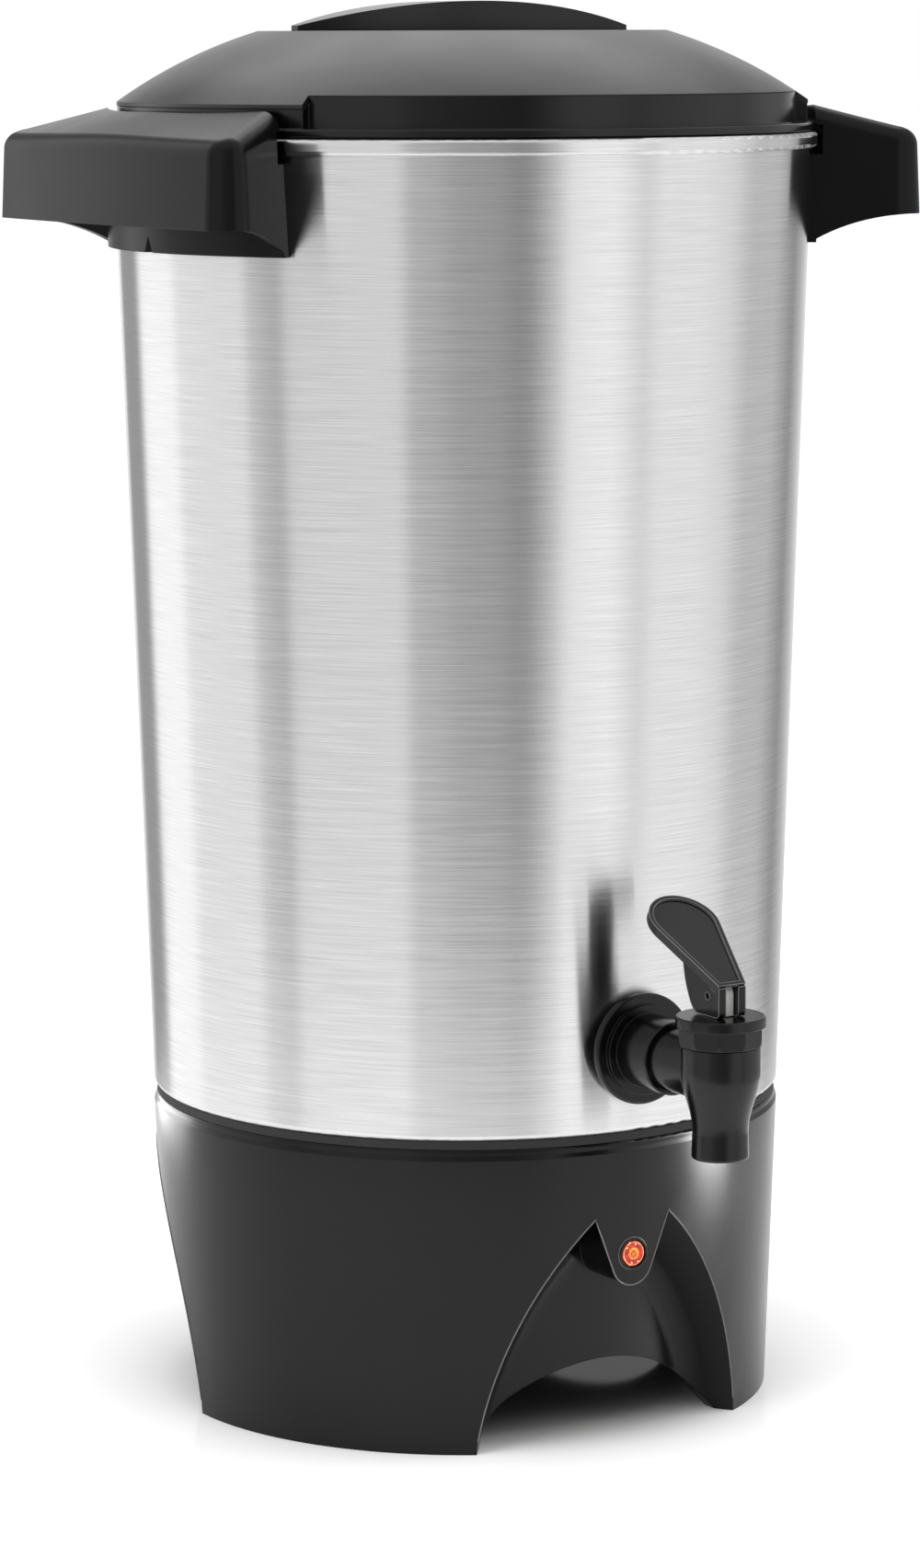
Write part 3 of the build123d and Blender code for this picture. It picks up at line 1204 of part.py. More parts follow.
spreader_z = BASKET_Z + BASKET_H + GAP
spreader_r = basket_top_r + BASKET_LIP
with BuildPart() as basket_spreader:
    with BuildSketch(Plane.XZ):
        with BuildLine():
            crown = hub_bore_r + PUMP_FOOT_T * 4
            Polyline(
                (spreader_r, spreader_z),
                (spreader_r, spreader_z + SPREADER_T),
                (spreader_r * 0.9, spreader_z + SPREADER_T),
                (crown, spreader_z + SPREADER_RISE + SPREADER_T),
                (hub_bore_r, spreader_z + SPREADER_RISE + SPREADER_T),
                (hub_bore_r, spreader_z + SPREADER_RISE),
                (crown, spreader_z + SPREADER_RISE),
                (spreader_r * 0.9, spreader_z),
                close=True,
            )
        make_face()
    revolve(axis=Axis.Z)
    with BuildSketch(Plane.XY.offset(spreader_z)):
        for ring_r, count in zip(SPREADER_RING_RADII, SPREADER_HOLE_COUNTS):
            with PolarLocations(ring_r, count):
                Circle(SPREADER_HOLE_R)
    extrude(amount=SPREADER_RISE + SPREADER_T, mode=Mode.SUBTRACT)
save("basket_spreader", basket_spreader)
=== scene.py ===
"""Looks of a percolating coffee urn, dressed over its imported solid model.

Every length is in metres and every angle in degrees unless a name says otherwise. The frame is the
solid model's: origin on the urn's axis at the floor, +Z up, tap towards -Y, handles towards X.
"""

from __future__ import annotations

import logging
from dataclasses import dataclass
from enum import Enum
from math import cos, hypot, pi, radians, sin
from typing import Any, Callable, Iterable, Mapping, Sequence

import bmesh
import bpy
from bpy.types import Collection, Material, Mesh, Node, NodeSocket, NodeTree, Object
from mathutils import Matrix, Vector

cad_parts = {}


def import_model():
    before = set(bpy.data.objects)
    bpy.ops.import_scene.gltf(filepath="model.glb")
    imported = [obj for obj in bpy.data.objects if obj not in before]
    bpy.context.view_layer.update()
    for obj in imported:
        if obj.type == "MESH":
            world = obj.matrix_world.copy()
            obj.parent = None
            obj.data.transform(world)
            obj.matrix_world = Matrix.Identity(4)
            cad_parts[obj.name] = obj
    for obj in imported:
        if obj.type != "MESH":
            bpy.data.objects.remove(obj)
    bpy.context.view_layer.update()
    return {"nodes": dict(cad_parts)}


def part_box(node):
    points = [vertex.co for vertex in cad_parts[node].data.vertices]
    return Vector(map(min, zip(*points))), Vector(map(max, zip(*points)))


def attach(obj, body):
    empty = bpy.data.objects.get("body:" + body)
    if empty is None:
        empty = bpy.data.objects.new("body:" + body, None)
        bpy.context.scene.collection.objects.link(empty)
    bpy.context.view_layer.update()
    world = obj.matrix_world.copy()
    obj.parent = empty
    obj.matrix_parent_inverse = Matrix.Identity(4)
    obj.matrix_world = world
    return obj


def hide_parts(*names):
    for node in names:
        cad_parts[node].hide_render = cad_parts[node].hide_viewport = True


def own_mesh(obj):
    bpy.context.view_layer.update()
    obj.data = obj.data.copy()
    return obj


LOG = logging.getLogger("coffee_urn")
MM = 0.001
NOISE_MIDDLE = (0.3, 0.7)  # most values of a noise texture lie in it
REFRACTION = 1.5  # index of common plastics and glass
WELD = 0.005 * MM  # corners nearer than this are one

Colour = tuple[float, float, float, float]
Run = tuple[list[Vector], bool]  # points along an edge, and whether they close on themselves


# ---- helpers
def linear(hex_colour: str) -> Colour:
    """Turn an sRGB hex colour into linear RGBA.

    Args:
        hex_colour: Six hex digits, such as "c8c8c9".

    Returns:
        Linear red, green, blue and an alpha of 1.
    """
    channels = [int(hex_colour[i : i + 2], 16) / 255 for i in (0, 2, 4)]
    lin = [c / 12.92 if c <= 0.04045 else ((c + 0.055) / 1.055) ** 2.4 for c in channels]
    return (lin[0], lin[1], lin[2], 1.0)


def grey(level: float) -> Colour:
    """Give the linear colour of a neutral grey; 1 is white."""
    return (level, level, level, 1.0)


def add_node(
    tree: NodeTree,
    kind: str,
    settings: Mapping[str, Any] | None = None,
    values: Mapping[Any, Any] | None = None,
    links: Mapping[Any, NodeSocket] | None = None,
) -> Node:
    """Add one shader node with its settings, socket values and incoming links.

    Args:
        tree: The node tree to add to.
        kind: The node's Blender type name, such as "ShaderNodeTexNoise".
        settings: Attributes of the node itself.
        values: Default values of its inputs, by name or index.
        links: Output sockets to join to its inputs, by name or index.

    Returns:
        The new node.
    """
    node = tree.nodes.new(kind)
    for name, value in (settings or {}).items():
        setattr(node, name, value)
    for key, value in (values or {}).items():
        node.inputs[key].default_value = value
    for key, socket in (links or {}).items():
        tree.links.new(socket, node.inputs[key])
    return node


def empty_material(name: str) -> Material:
    """Make a material with nothing in its node tree."""
    material = bpy.data.materials.new(name)
    material.use_nodes = True
    material.node_tree.nodes.clear()
    return material


def blank_material(name: str, constants: Mapping[str, Any]) -> tuple[Material, Node]:
    """Make a material that holds one Principled shader and its output.

    Args:
        name: Name of the material.
        constants: Values on the shader's own sockets.

    Returns:
        The material and its Principled shader node.
    """
    material = empty_material(name)
    tree = material.node_tree
    shader = add_node(tree, "ShaderNodeBsdfPrincipled", values=constants)
    add_node(tree, "ShaderNodeOutputMaterial", links={"Surface": shader.outputs["BSDF"]})
    return material, shader


def stretched_place(tree: NodeTree, scale: tuple[float, float, float]) -> NodeSocket:
    """Object coordinates scaled per axis, so that a pattern keeps a real size.

    Args:
        tree: The material's node tree.
        scale: Cycles per metre along X, Y and Z.

    Returns:
        The vector socket to feed a texture with.
    """
    place = add_node(tree, "ShaderNodeTexCoord")
    links = {"Vector": place.outputs["Object"]}
    return add_node(tree, "ShaderNodeMapping", values={"Scale": scale}, links=links).outputs["Vector"]


def noise(
    tree: NodeTree,
    place: NodeSocket,
    detail: float = 2.0,
    scale: float = 1.0,
    roughness: float = 0.5,
) -> NodeSocket:
    """Add a noise texture.

    Args:
        tree: The material's node tree.
        place: The coordinates to lay it over.
        detail: How many finer layers it has.
        scale: Cycles per unit of the coordinates.
        roughness: Strength of the finer layers.

    Returns:
        The socket that holds the pattern, from 0 to 1.
    """
    values = {"Scale": scale, "Detail": detail, "Roughness": roughness}
    return add_node(tree, "ShaderNodeTexNoise", values=values, links={"Vector": place}).outputs["Fac"]


def remap(
    tree: NodeTree,
    value: NodeSocket,
    wanted: tuple[float, float],
    given: tuple[float, float] = (0.0, 1.0),
    smooth: bool = False,
) -> NodeSocket:
    """Stretch a value from one range to another.

    Args:
        tree: The node tree.
        value: The value.
        wanted: What the ends of the given range become.
        given: The range that the value runs over.
        smooth: Whether it eases in and out at the ends.

    Returns:
        The socket that holds the new value.
    """
    node = add_node(
        tree,
        "ShaderNodeMapRange",
        settings={"interpolation_type": "SMOOTHSTEP" if smooth else "LINEAR"},
        values={"From Min": given[0], "From Max": given[1], "To Min": wanted[0], "To Max": wanted[1]},
        links={"Value": value},
    )
    return node.outputs["Result"]


def calculate(tree: NodeTree, operation: str, *terms: Any, vector: bool = False) -> NodeSocket:
    """Do arithmetic on sockets and constants.

    Args:
        tree: The node tree.
        operation: Name of the operation, such as "MULTIPLY".
        terms: What it works on, each a socket or a constant.
        vector: Whether the terms are vectors.

    Returns:
        The socket that holds the outcome.
    """
    kind = "ShaderNodeVectorMath" if vector else "ShaderNodeMath"
    node = add_node(tree, kind, settings={"operation": operation})
    for inlet, term in zip(node.inputs, terms):
        if isinstance(term, NodeSocket):
            tree.links.new(term, inlet)
        else:
            inlet.default_value = term
    return node.outputs["Vector" if vector and operation != "LENGTH" else "Value"]


def fill_ramp(ramp: Node, stops: Sequence[tuple[float, Colour]]) -> None:
    """Set the stops of a new colour ramp.

    Args:
        ramp: The ramp's node.
        stops: Place and colour of each stop, in order.
    """
    elements = ramp.color_ramp.elements
    first = len(elements)
    for index, (place, colour) in enumerate(stops):
        stop = elements[index] if index < first else elements.new(place)
        stop.position = place
        stop.color = colour


def vary_roughness(
    tree: NodeTree,
    shader: Node,
    pattern: NodeSocket,
    middle: float,
    change: tuple[float, float],
    given: tuple[float, float] = (0.0, 1.0),
) -> None:
    """Let a pattern change a shader's roughness.

    Args:
        tree: The material's node tree.
        shader: The Principled shader.
        pattern: The pattern.
        middle: The finish's roughness.
        change: What the pattern's low and high ends add to it.
        given: The range that the pattern runs over.
    """
    wanted = (middle + change[0], middle + change[1])
    tree.links.new(remap(tree, pattern, wanted, given), shader.inputs["Roughness"])


def fine_bump(
    tree: NodeTree,
    shader: Node,
    height: NodeSocket,
    depth: float,
    strength: float,
    edge: float = 0.0,
) -> None:
    """Feed a shader's normal with a bump of a real depth.

    Args:
        tree: The material's node tree.
        shader: The Principled shader.
        height: The pattern, from 0 to 1.
        depth: Height of the relief in metres.
        strength: Strength of the bump.
        edge: Radius in metres that sharp edges look rounded to.
    """
    links = {"Height": height}
    if edge:
        rounded = add_node(tree, "ShaderNodeBevel", settings={"samples": 6}, values={"Radius": edge})
        links["Normal"] = rounded.outputs["Normal"]
    bump = add_node(tree, "ShaderNodeBump", values={"Distance": depth, "Strength": strength}, links=links)
    tree.links.new(bump.outputs["Normal"], shader.inputs["Normal"])


def put_in_scene(name: str, data: bpy.types.ID) -> Object:
    """Make an object of a mesh, lamp or camera and link it to the scene."""
    item = bpy.data.objects.new(name, data)
    bpy.context.scene.collection.objects.link(item)
    return item


def piece_from_mesh(name: str, mesh: Mesh, body: str, material: Material) -> Object:
    """Make a piece of the urn that rides on a body.

    Args:
        name: Name of the piece.
        mesh: Its mesh, in the frame's own place.
        body: Name of the body that carries it.
        material: Its material.

    Returns:
        The new object.
    """
    mesh.name = name
    mesh.materials.clear()
    mesh.materials.append(material)
    piece = put_in_scene(name, mesh)
    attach(piece, body)
    return piece


def smooth_mesh(name: str, shape: bmesh.types.BMesh) -> Mesh:
    """Make a smooth-shaded mesh of a shape, and free the shape."""
    for face in shape.faces:
        face.smooth = True
    mesh = bpy.data.meshes.new(name)
    shape.to_mesh(mesh)
    shape.free()
    return mesh


def turned_mesh(
    profile: Sequence[tuple[float, float]],
    segments: int,
    flute: Callable[[float, float], float],
) -> Mesh:
    """Turn a profile about the local Z axis into a closed, smooth mesh.

    Args:
        profile: Radius and height of each point, from the middle of the front to the middle of the back.
        segments: Number of steps round the axis.
        flute: Height to add at a radius and an angle.

    Returns:
        The mesh.
    """
    shape = bmesh.new()
    rings: list[list[bmesh.types.BMVert]] = []
    for radius, height in profile:
        if radius == 0:
            rings.append([shape.verts.new((0, 0, height))])
            continue
        ring = []
        for step in range(segments):
            turn = 2 * pi * step / segments
            place = (radius * cos(turn), radius * sin(turn), height + flute(radius, turn))
            ring.append(shape.verts.new(place))
        rings.append(ring)
    for inner, outer in zip(rings, rings[1:]):
        for step in range(segments):
            after = (step + 1) % segments
            corners = [inner[step % len(inner)], outer[step % len(outer)]]
            if len(outer) > 1:
                corners.append(outer[after])
            if len(inner) > 1:
                corners.append(inner[after])
            shape.faces.new(corners)
    return smooth_mesh("turned", shape)


def sharp_runs(node: Object, least_turn: float, keep: Callable[[Vector], bool] | None = None) -> list[Run]:
    """Follow the sharp edges of a solid-model node.

    Args:
        node: The node, which isn't changed.
        least_turn: Smallest angle in degrees between the faces of a sharp edge.
        keep: Test that both ends of an edge have to pass, if there is one.

    Returns:
        The runs of edges that meet end to end.
    """
    shape = bmesh.new()
    shape.from_mesh(node.data)
    bmesh.ops.remove_doubles(shape, verts=shape.verts, dist=WELD)
    joined: dict[bmesh.types.BMVert, list[bmesh.types.BMVert]] = {}
    for edge in shape.edges:
        if len(edge.link_faces) != 2 or edge.calc_face_angle() < radians(least_turn):
            continue
        one, two = edge.verts
        if keep is None or (keep(one.co) and keep(two.co)):
            joined.setdefault(one, []).append(two)
            joined.setdefault(two, []).append(one)
    runs: list[Run] = []
    starts = sorted(joined, key=lambda vert: (len(joined[vert]) == 2, vert.index))
    for start in starts:
        while joined[start]:
            at, points = start, [start.co.copy()]
            while joined[at]:
                after = joined[at].pop(0)
                joined[after].remove(at)
                at = after
                points.append(at.co.copy())
                if len(joined[at]) != 1:
                    break
            closed = at is start and len(points) > 3
            runs.append((points[:-1] if closed else points, closed))
    shape.free()
    return runs


def bead_mesh(runs: Iterable[Run], radius: float, least_length: float) -> Mesh:
    """Make thin round beads along runs of points.

    Args:
        runs: The runs.
        radius: Radius of the bead.
        least_length: Length below which a run gets no bead.

    Returns:
        One mesh that holds every bead.
    """
    curve = bpy.data.curves.new("bead", "CURVE")
    curve.dimensions = "3D"
    curve.bevel_depth = radius
    curve.bevel_resolution = 2
    curve.use_fill_caps = True
    for points, closed in runs:
        length = sum((b - a).length for a, b in zip(points, points[1:]))
        if length < least_length:
            continue
        spline = curve.splines.new("POLY")
        spline.points.add(len(points) - 1)
        for place, point in zip(spline.points, points):
            place.co = (*point, 1.0)
        spline.use_cyclic_u = closed
    holder = bpy.data.objects.new("bead", curve)
    mesh = bpy.data.meshes.new_from_object(holder)
    bpy.data.objects.remove(holder)
    bpy.data.curves.remove(curve)
    return mesh


# ---- finishes
@dataclass(frozen=True)
class BrushedAluminium:
    """Aluminium of the tank, belt-brushed round it, so reflections run up and down in soft bands."""

    colour: str = "e6e6e6"
    roughness: float = 0.22
    roughness_change: tuple[float, float] = (-0.01, 0.02)
    anisotropy: float = 1.0
    anisotropy_turn: float = 0.25  # a quarter turn: light spreads across the streaks
    streak_length: float = 26 * MM
    streak_width: float = 0.24 * MM  # drawn coarser than real grit, so that it shows
    streak_tint: tuple[float, float] = (0.79, 0.98)  # darkest and lightest streak, as a share of the colour
    depth: float = 0.002 * MM
    relief: float = 0.01

    def material(self) -> Material:
        """Build the material: a metal with fine streaks in its bump, tint and roughness."""
        constants = {
            "Metallic": 1.0,
            "Anisotropic": self.anisotropy,
            "Anisotropic Rotation": self.anisotropy_turn,
        }
        material, shader = blank_material("brushed_aluminium", constants)
        tree = material.node_tree
        across = 1 / self.streak_length
        streaks = noise(tree, stretched_place(tree, (across, across, 1 / self.streak_width)))
        base = add_node(
            tree,
            "ShaderNodeMix",
            settings={"data_type": "RGBA", "blend_type": "MULTIPLY"},
            values={"Factor": 1.0, 6: linear(self.colour)},
            links={7: remap(tree, streaks, self.streak_tint, NOISE_MIDDLE)},
        )
        tree.links.new(base.outputs[2], shader.inputs["Base Color"])
        vary_roughness(tree, shader, streaks, self.roughness, self.roughness_change, NOISE_MIDDLE)
        tangent = add_node(tree, "ShaderNodeTangent", settings={"direction_type": "RADIAL", "axis": "Z"})
        tree.links.new(tangent.outputs["Tangent"], shader.inputs["Tangent"])
        fine_bump(tree, shader, streaks, self.depth, self.relief)
        return material


@dataclass(frozen=True)
class SpunAluminium:
    """Thin spun aluminium of the percolator, satin from the lathe."""

    colour: str = "cfcfd0"
    roughness: float = 0.34
    roughness_change: tuple[float, float] = (-0.06, 0.06)
    ring_width: float = 0.8 * MM
    drift: float = 30.0  # cycles per metre along a ring
    depth: float = 0.005 * MM
    relief: float = 0.3

    def material(self) -> Material:
        """Build the material: a metal with faint turning marks."""
        constants = {"Base Color": linear(self.colour), "Metallic": 1.0}
        material, shader = blank_material("spun_aluminium", constants)
        tree = material.node_tree
        marks = noise(tree, stretched_place(tree, (self.drift, self.drift, 1 / self.ring_width)))
        vary_roughness(tree, shader, marks, self.roughness, self.roughness_change)
        fine_bump(tree, shader, marks, self.depth, self.relief)
        return material


@dataclass(frozen=True)
class MouldedSkin:
    """Skin of a moulded plastic, a pressed rubber or a glaze; its texture sets how far it shines."""

    name: str
    colour: str
    roughness: float
    grain: float
    depth: float
    shine: float = 0.5  # strength of its mirror reflection; 0.5 is the usual one
    edge: float = 0.5 * MM  # radius that its sharp edges look rounded to
    roughness_change: tuple[float, float] = (-0.025, 0.025)
    cloud_scale: float = 0.012  # scale of the clouds of uneven sheen, as a share of the grain's
    relief: float = 0.25

    def material(self) -> Material:
        """Build the material: a fine grain and a slightly uneven sheen."""
        constants = {
            "Base Color": linear(self.colour),
            "IOR": REFRACTION,
            "Specular IOR Level": self.shine,
        }
        material, shader = blank_material(self.name, constants)
        tree = material.node_tree
        place = stretched_place(tree, (1 / self.grain,) * 3)
        grain = noise(tree, place, detail=4.0, roughness=0.6)
        clouds = noise(tree, place, scale=self.cloud_scale)
        vary_roughness(tree, shader, clouds, self.roughness, self.roughness_change, NOISE_MIDDLE)
        fine_bump(tree, shader, grain, self.depth, self.relief, self.edge)
        return material


@dataclass(frozen=True)
class PlatedSteel:
    """Zinc-plated or stainless steel of screws, springs and pins."""

    colour: str = "c4c5c7"
    roughness: float = 0.24
    roughness_change: tuple[float, float] = (-0.05, 0.05)
    cloud_scale: float = 900.0  # cycles per metre

    def material(self) -> Material:
        """Build the material: a bright metal with a faint variation of its sheen."""
        constants = {"Base Color": linear(self.colour), "Metallic": 1.0}
        material, shader = blank_material("plated_steel", constants)
        tree = material.node_tree
        clouds = noise(tree, stretched_place(tree, (self.cloud_scale,) * 3), detail=3.0)
        vary_roughness(tree, shader, clouds, self.roughness, self.roughness_change)
        return material


@dataclass(frozen=True)
class PaleNylon:
    """Natural nylon of the valve stem."""

    colour: str = "e6e5e0"
    roughness: float = 0.32
    milkiness: float = 0.15
    milk_depth: float = 1.0 * MM
    grain_scale: float = 1500.0  # cycles per metre
    depth: float = 0.004 * MM
    relief: float = 0.2

    def material(self) -> Material:
        """Build the material: a pale plastic that lets a little light into itself."""
        constants = {
            "Base Color": linear(self.colour),
            "Roughness": self.roughness,
            "Subsurface Weight": self.milkiness,
            "Subsurface Scale": self.milk_depth,
        }
        material, shader = blank_material("natural_nylon", constants)
        tree = material.node_tree
        grain = noise(tree, stretched_place(tree, (self.grain_scale,) * 3))
        fine_bump(tree, shader, grain, self.depth, self.relief)
        return material


@dataclass(frozen=True)
class Band:
    """One ring of colour on the lens: how far out it lies, and its colour."""

    share: float  # 0 in the middle, 1 at the rim
    colour: str


@dataclass(frozen=True)
class AmberLens:
    """Clear amber polycarbonate, lit from behind: its moulded rings gather the light, so they glow."""

    radius: float = 4.3 * MM
    centre: tuple[float, float, float] = (0.0, -0.0998, 0.0609)
    roughness: float = 0.1
    glow: float = 0.62
    mottle: float = 0.9 * MM
    mottle_range: tuple[float, float] = (0.35, 0.65)
    mottle_levels: tuple[float, float] = (0.45, 1.15)
    bands: tuple[Band, ...] = (
        Band(0.0, "d8541c"),
        Band(0.12, "f07a2c"),
        Band(0.20, "a83210"),
        Band(0.31, "f0912e"),
        Band(0.38, "f7a545"),
        Band(0.46, "b83612"),
        Band(0.62, "9c240c"),
        Band(0.78, "a02a10"),
        Band(0.83, "f7a878"),
        Band(0.86, "f7a878"),
        Band(0.90, "74180a"),
        Band(1.0, "240603"),
    )

    def material(self) -> Material:
        """Build the material: rings of amber that glow, mottled as the light falls through them."""
        constants = {"Emission Strength": self.glow, "Roughness": self.roughness}
        material, shader = blank_material("amber_polycarbonate", constants)
        tree = material.node_tree
        place = add_node(tree, "ShaderNodeTexCoord").outputs["Object"]
        ramp = add_node(tree, "ShaderNodeValToRGB", links={"Fac": self.share_out(tree, place)})
        fill_ramp(ramp, [(band.share, linear(band.colour)) for band in self.bands])
        clouds = noise(tree, place, scale=1 / self.mottle)
        lit = add_node(
            tree,
            "ShaderNodeMix",
            settings={"data_type": "RGBA", "blend_type": "MULTIPLY"},
            values={"Factor": 1.0},
            links={6: ramp.outputs["Color"], 7: remap(tree, clouds, self.mottle_levels, self.mottle_range)},
        )
        for socket in ("Base Color", "Emission Color"):
            tree.links.new(lit.outputs[2], shader.inputs[socket])
        return material

    def share_out(self, tree: NodeTree, place: NodeSocket) -> NodeSocket:
        """Measure how far out on the lens a point lies.

        Args:
            tree: The material's node tree.
            place: The point, in the frame's own place.

        Returns:
            0 in the lens's middle and 1 at its rim.
        """
        moved = calculate(tree, "SUBTRACT", place, self.centre, vector=True)
        flat = calculate(tree, "MULTIPLY", moved, (1 / self.radius, 0.0, 1 / self.radius), vector=True)
        return calculate(tree, "LENGTH", flat, vector=True)


@dataclass(frozen=True)
class AmberSpark:
    """Facets in the lens that look straight at the lamp."""

    colour: str = "ffb890"
    light: str = "ffd9c4"
    glow: float = 0.9
    roughness: float = 0.1

    def material(self) -> Material:
        """Build the material: a pale glow on clear plastic."""
        constants = {
            "Base Color": linear(self.colour),
            "Emission Color": linear(self.light),
            "Emission Strength": self.glow,
            "Roughness": self.roughness,
        }
        return blank_material("amber_polycarbonate_facet", constants)[0]


@dataclass(frozen=True)
class LampGlass:
    """Thin glass of the neon lamp behind the lens."""

    colour: str = "ffc58a"
    clearness: float = 0.8
    roughness: float = 0.08

    def material(self) -> Material:
        """Build the material: warm clear glass."""
        constants = {
            "Base Color": linear(self.colour),
            "Transmission Weight": self.clearness,
            "Roughness": self.roughness,
            "IOR": REFRACTION,
        }
        return blank_material("neon_lamp_glass", constants)[0]


@dataclass(frozen=True)
class Finishes:
    """The urn's finishes, each built once."""

    tank: Material
    spun: Material
    satin: Material
    dome: Material
    handle: Material
    gloss: Material
    edge: Material
    rubber: Material
    steel: Material
    nylon: Material
    ceramic: Material
    lens: Material
    spark: Material
    glass: Material

    @classmethod
    def build(cls) -> Finishes:
        """Build every finish of the urn."""
        return cls(
            # Bright metal that draws what it reflects into upright bands, with fine level lines across.
            tank=BrushedAluminium().material(),
            # Softer and greyer than the tank, with rings that tell it was turned.
            spun=SpunAluminium().material(),
            # Near black, with a soft highlight down each side of the base.
            satin=MouldedSkin(
                "satin_polypropylene", "09090a", roughness=0.21, grain=0.35 * MM, depth=0.004 * MM, shine=0.26
            ).material(),
            # Charcoal rather than black: the dome's fine texture spreads the light from above.
            dome=MouldedSkin(
                "fine_satin_polypropylene", "101011", roughness=0.32, grain=0.3 * MM, depth=0.012 * MM
            ).material(),
            # Dense and dull, so the handles stay dark against the tank.
            handle=MouldedSkin(
                "satin_phenolic", "0c0c0d", roughness=0.25, grain=0.3 * MM, depth=0.01 * MM, shine=0.15
            ).material(),
            # Black and smooth: the tap, the lid's band and the grip catch small, clear lights.
            gloss=MouldedSkin(
                "gloss_abs", "060607", roughness=0.2, grain=2.0 * MM, depth=0.002 * MM, shine=0.36
            ).material(),
            # A thin grey line along moulded edges: a painted highlight where a rounded edge catches the
            # light.
            edge=MouldedSkin(
                "edge_highlight_polypropylene",
                "626264",
                roughness=0.2,
                grain=1.0 * MM,
                depth=0.002 * MM,
                shine=0.6,
                edge=0.0,
            ).material(),
            # Dull black, with hardly a highlight.
            rubber=MouldedSkin(
                "pressed_rubber", "161616", roughness=0.62, grain=0.25 * MM, depth=0.01 * MM
            ).material(),
            # Bright and cool beside the aluminium.
            steel=PlatedSteel().material(),
            # Off-white and slightly glossy, with a soft edge to its shadows.
            nylon=PaleNylon().material(),
            # Pale and wet-looking, as glaze is.
            ceramic=MouldedSkin(
                "glazed_steatite", "e4e0d6", roughness=0.2, grain=0.6 * MM, depth=0.01 * MM
            ).material(),
            # Red-orange rings that glow, darkest at the rim.
            lens=AmberLens().material(),
            # Nearly white points in the amber.
            spark=AmberSpark().material(),
            # Warm and clear.
            glass=LampGlass().material(),
        )


# ---- studio
@dataclass
class Camera:
    """Long lens at the height of the lid, left of the tap, that looks slightly down."""

    position: tuple[float, float, float] = (-0.816156, -1.347633, 0.434445)
    right: tuple[float, float, float] = (0.85557709, -0.51766575, -0.00316368)
    up: tuple[float, float, float] = (0.0804453, 0.12691471, 0.98864615)
    forward: tuple[float, float, float] = (0.51138673, 0.8461175, -0.1502291)
    lens_mm: float = 113.4
    sensor_mm: float = 36.0
    clip: tuple[float, float] = (0.01, 50.0)

    def build(self) -> Object:
        """Make the camera and set it as the scene's."""
        data = bpy.data.cameras.new("camera")
        data.sensor_fit = "VERTICAL"
        data.sensor_height = self.sensor_mm
        data.lens = self.lens_mm
        data.clip_start, data.clip_end = self.clip
        camera = put_in_scene("camera", data)
        turn = Matrix((self.right, self.up, tuple(-c for c in self.forward))).transposed()
        camera.matrix_world = Matrix.Translation(self.position) @ turn.to_4x4()
        bpy.context.scene.camera = camera
        return camera


@dataclass(frozen=True)
class Card:
    """One stretch of the card ring: the direction in which it begins, and how bright it is."""

    azimuth: float  # degrees round from the front, positive towards +X
    level: float  # 1 is white


@dataclass
class CardRing:
    """Ring of white and grey cards round the urn, which only reflections see."""

    radius: float = 0.45
    height: float = 0.75
    segments: int = 180
    cards: tuple[Card, ...] = (
        Card(-180.0, 0.36),
        Card(-160.0, 0.40),
        Card(-154.0, 1.32),
        Card(-134.0, 1.30),
        Card(-130.0, 1.03),
        Card(-101.0, 0.99),
        Card(-98.0, 0.7),
        Card(-88.0, 0.54),
        Card(-84.0, 0.87),
        Card(-50.0, 0.87),
        Card(-46.0, 0.58),
        Card(-38.0, 0.52),
        Card(-33.0, 0.44),
        Card(-20.0, 0.38),
        Card(-16.0, 0.31),
        Card(-12.0, 0.33),
        Card(-8.0, 0.5),
        Card(-4.0, 0.7),
        Card(0.0, 1.02),
        Card(4.0, 1.10),
        Card(14.0, 1.16),
        Card(20.0, 1.00),
        Card(24.0, 0.86),
        Card(30.0, 1.04),
        Card(46.0, 1.04),
        Card(58.0, 0.94),
        Card(68.0, 0.68),
        Card(84.0, 0.66),
        Card(100.0, 0.34),
        Card(128.0, 0.90),
        Card(170.0, 0.90),
    )

    def build(self) -> Object:
        """Make the ring, hidden from the camera, from diffuse light and from shadows."""
        verts: list[tuple[float, float, float]] = []
        for step in range(self.segments):
            turn = 2 * pi * step / self.segments
            for z in (0.0, self.height):
                verts.append((self.radius * sin(turn), -self.radius * cos(turn), z))
        count = len(verts)
        faces = [(i, i + 1, (i + 3) % count, (i + 2) % count) for i in range(0, count, 2)]
        mesh = bpy.data.meshes.new("card_ring")
        mesh.from_pydata(verts, [], faces)
        mesh.materials.append(self.material())
        ring = put_in_scene("card_ring", mesh)
        ring.visible_camera = False
        ring.visible_diffuse = False
        ring.visible_shadow = False
        ring.visible_transmission = False
        ring.visible_volume_scatter = False
        return ring

    def material(self) -> Material:
        """Paint the cards round the ring by direction from the urn's axis."""
        material = empty_material("white_and_grey_card")
        tree = material.node_tree
        place = add_node(tree, "ShaderNodeTexCoord")
        axes = add_node(tree, "ShaderNodeSeparateXYZ", links={0: place.outputs["Object"]})
        flip = calculate(tree, "MULTIPLY", axes.outputs["Y"], -1.0)
        turn = calculate(tree, "ARCTAN2", axes.outputs["X"], flip)
        share = remap(tree, turn, (0.0, 1.0), (-pi, pi))
        ramp = add_node(tree, "ShaderNodeValToRGB", links={"Fac": share})
        brightest = max(card.level for card in self.cards)
        fill_ramp(ramp, [((card.azimuth + 180) / 360, grey(card.level / brightest)) for card in self.cards])
        glow = add_node(
            tree, "ShaderNodeEmission", values={"Strength": brightest}, links={"Color": ramp.outputs["Color"]}
        )
        add_node(tree, "ShaderNodeOutputMaterial", links={"Surface": glow.outputs["Emission"]})
        return material


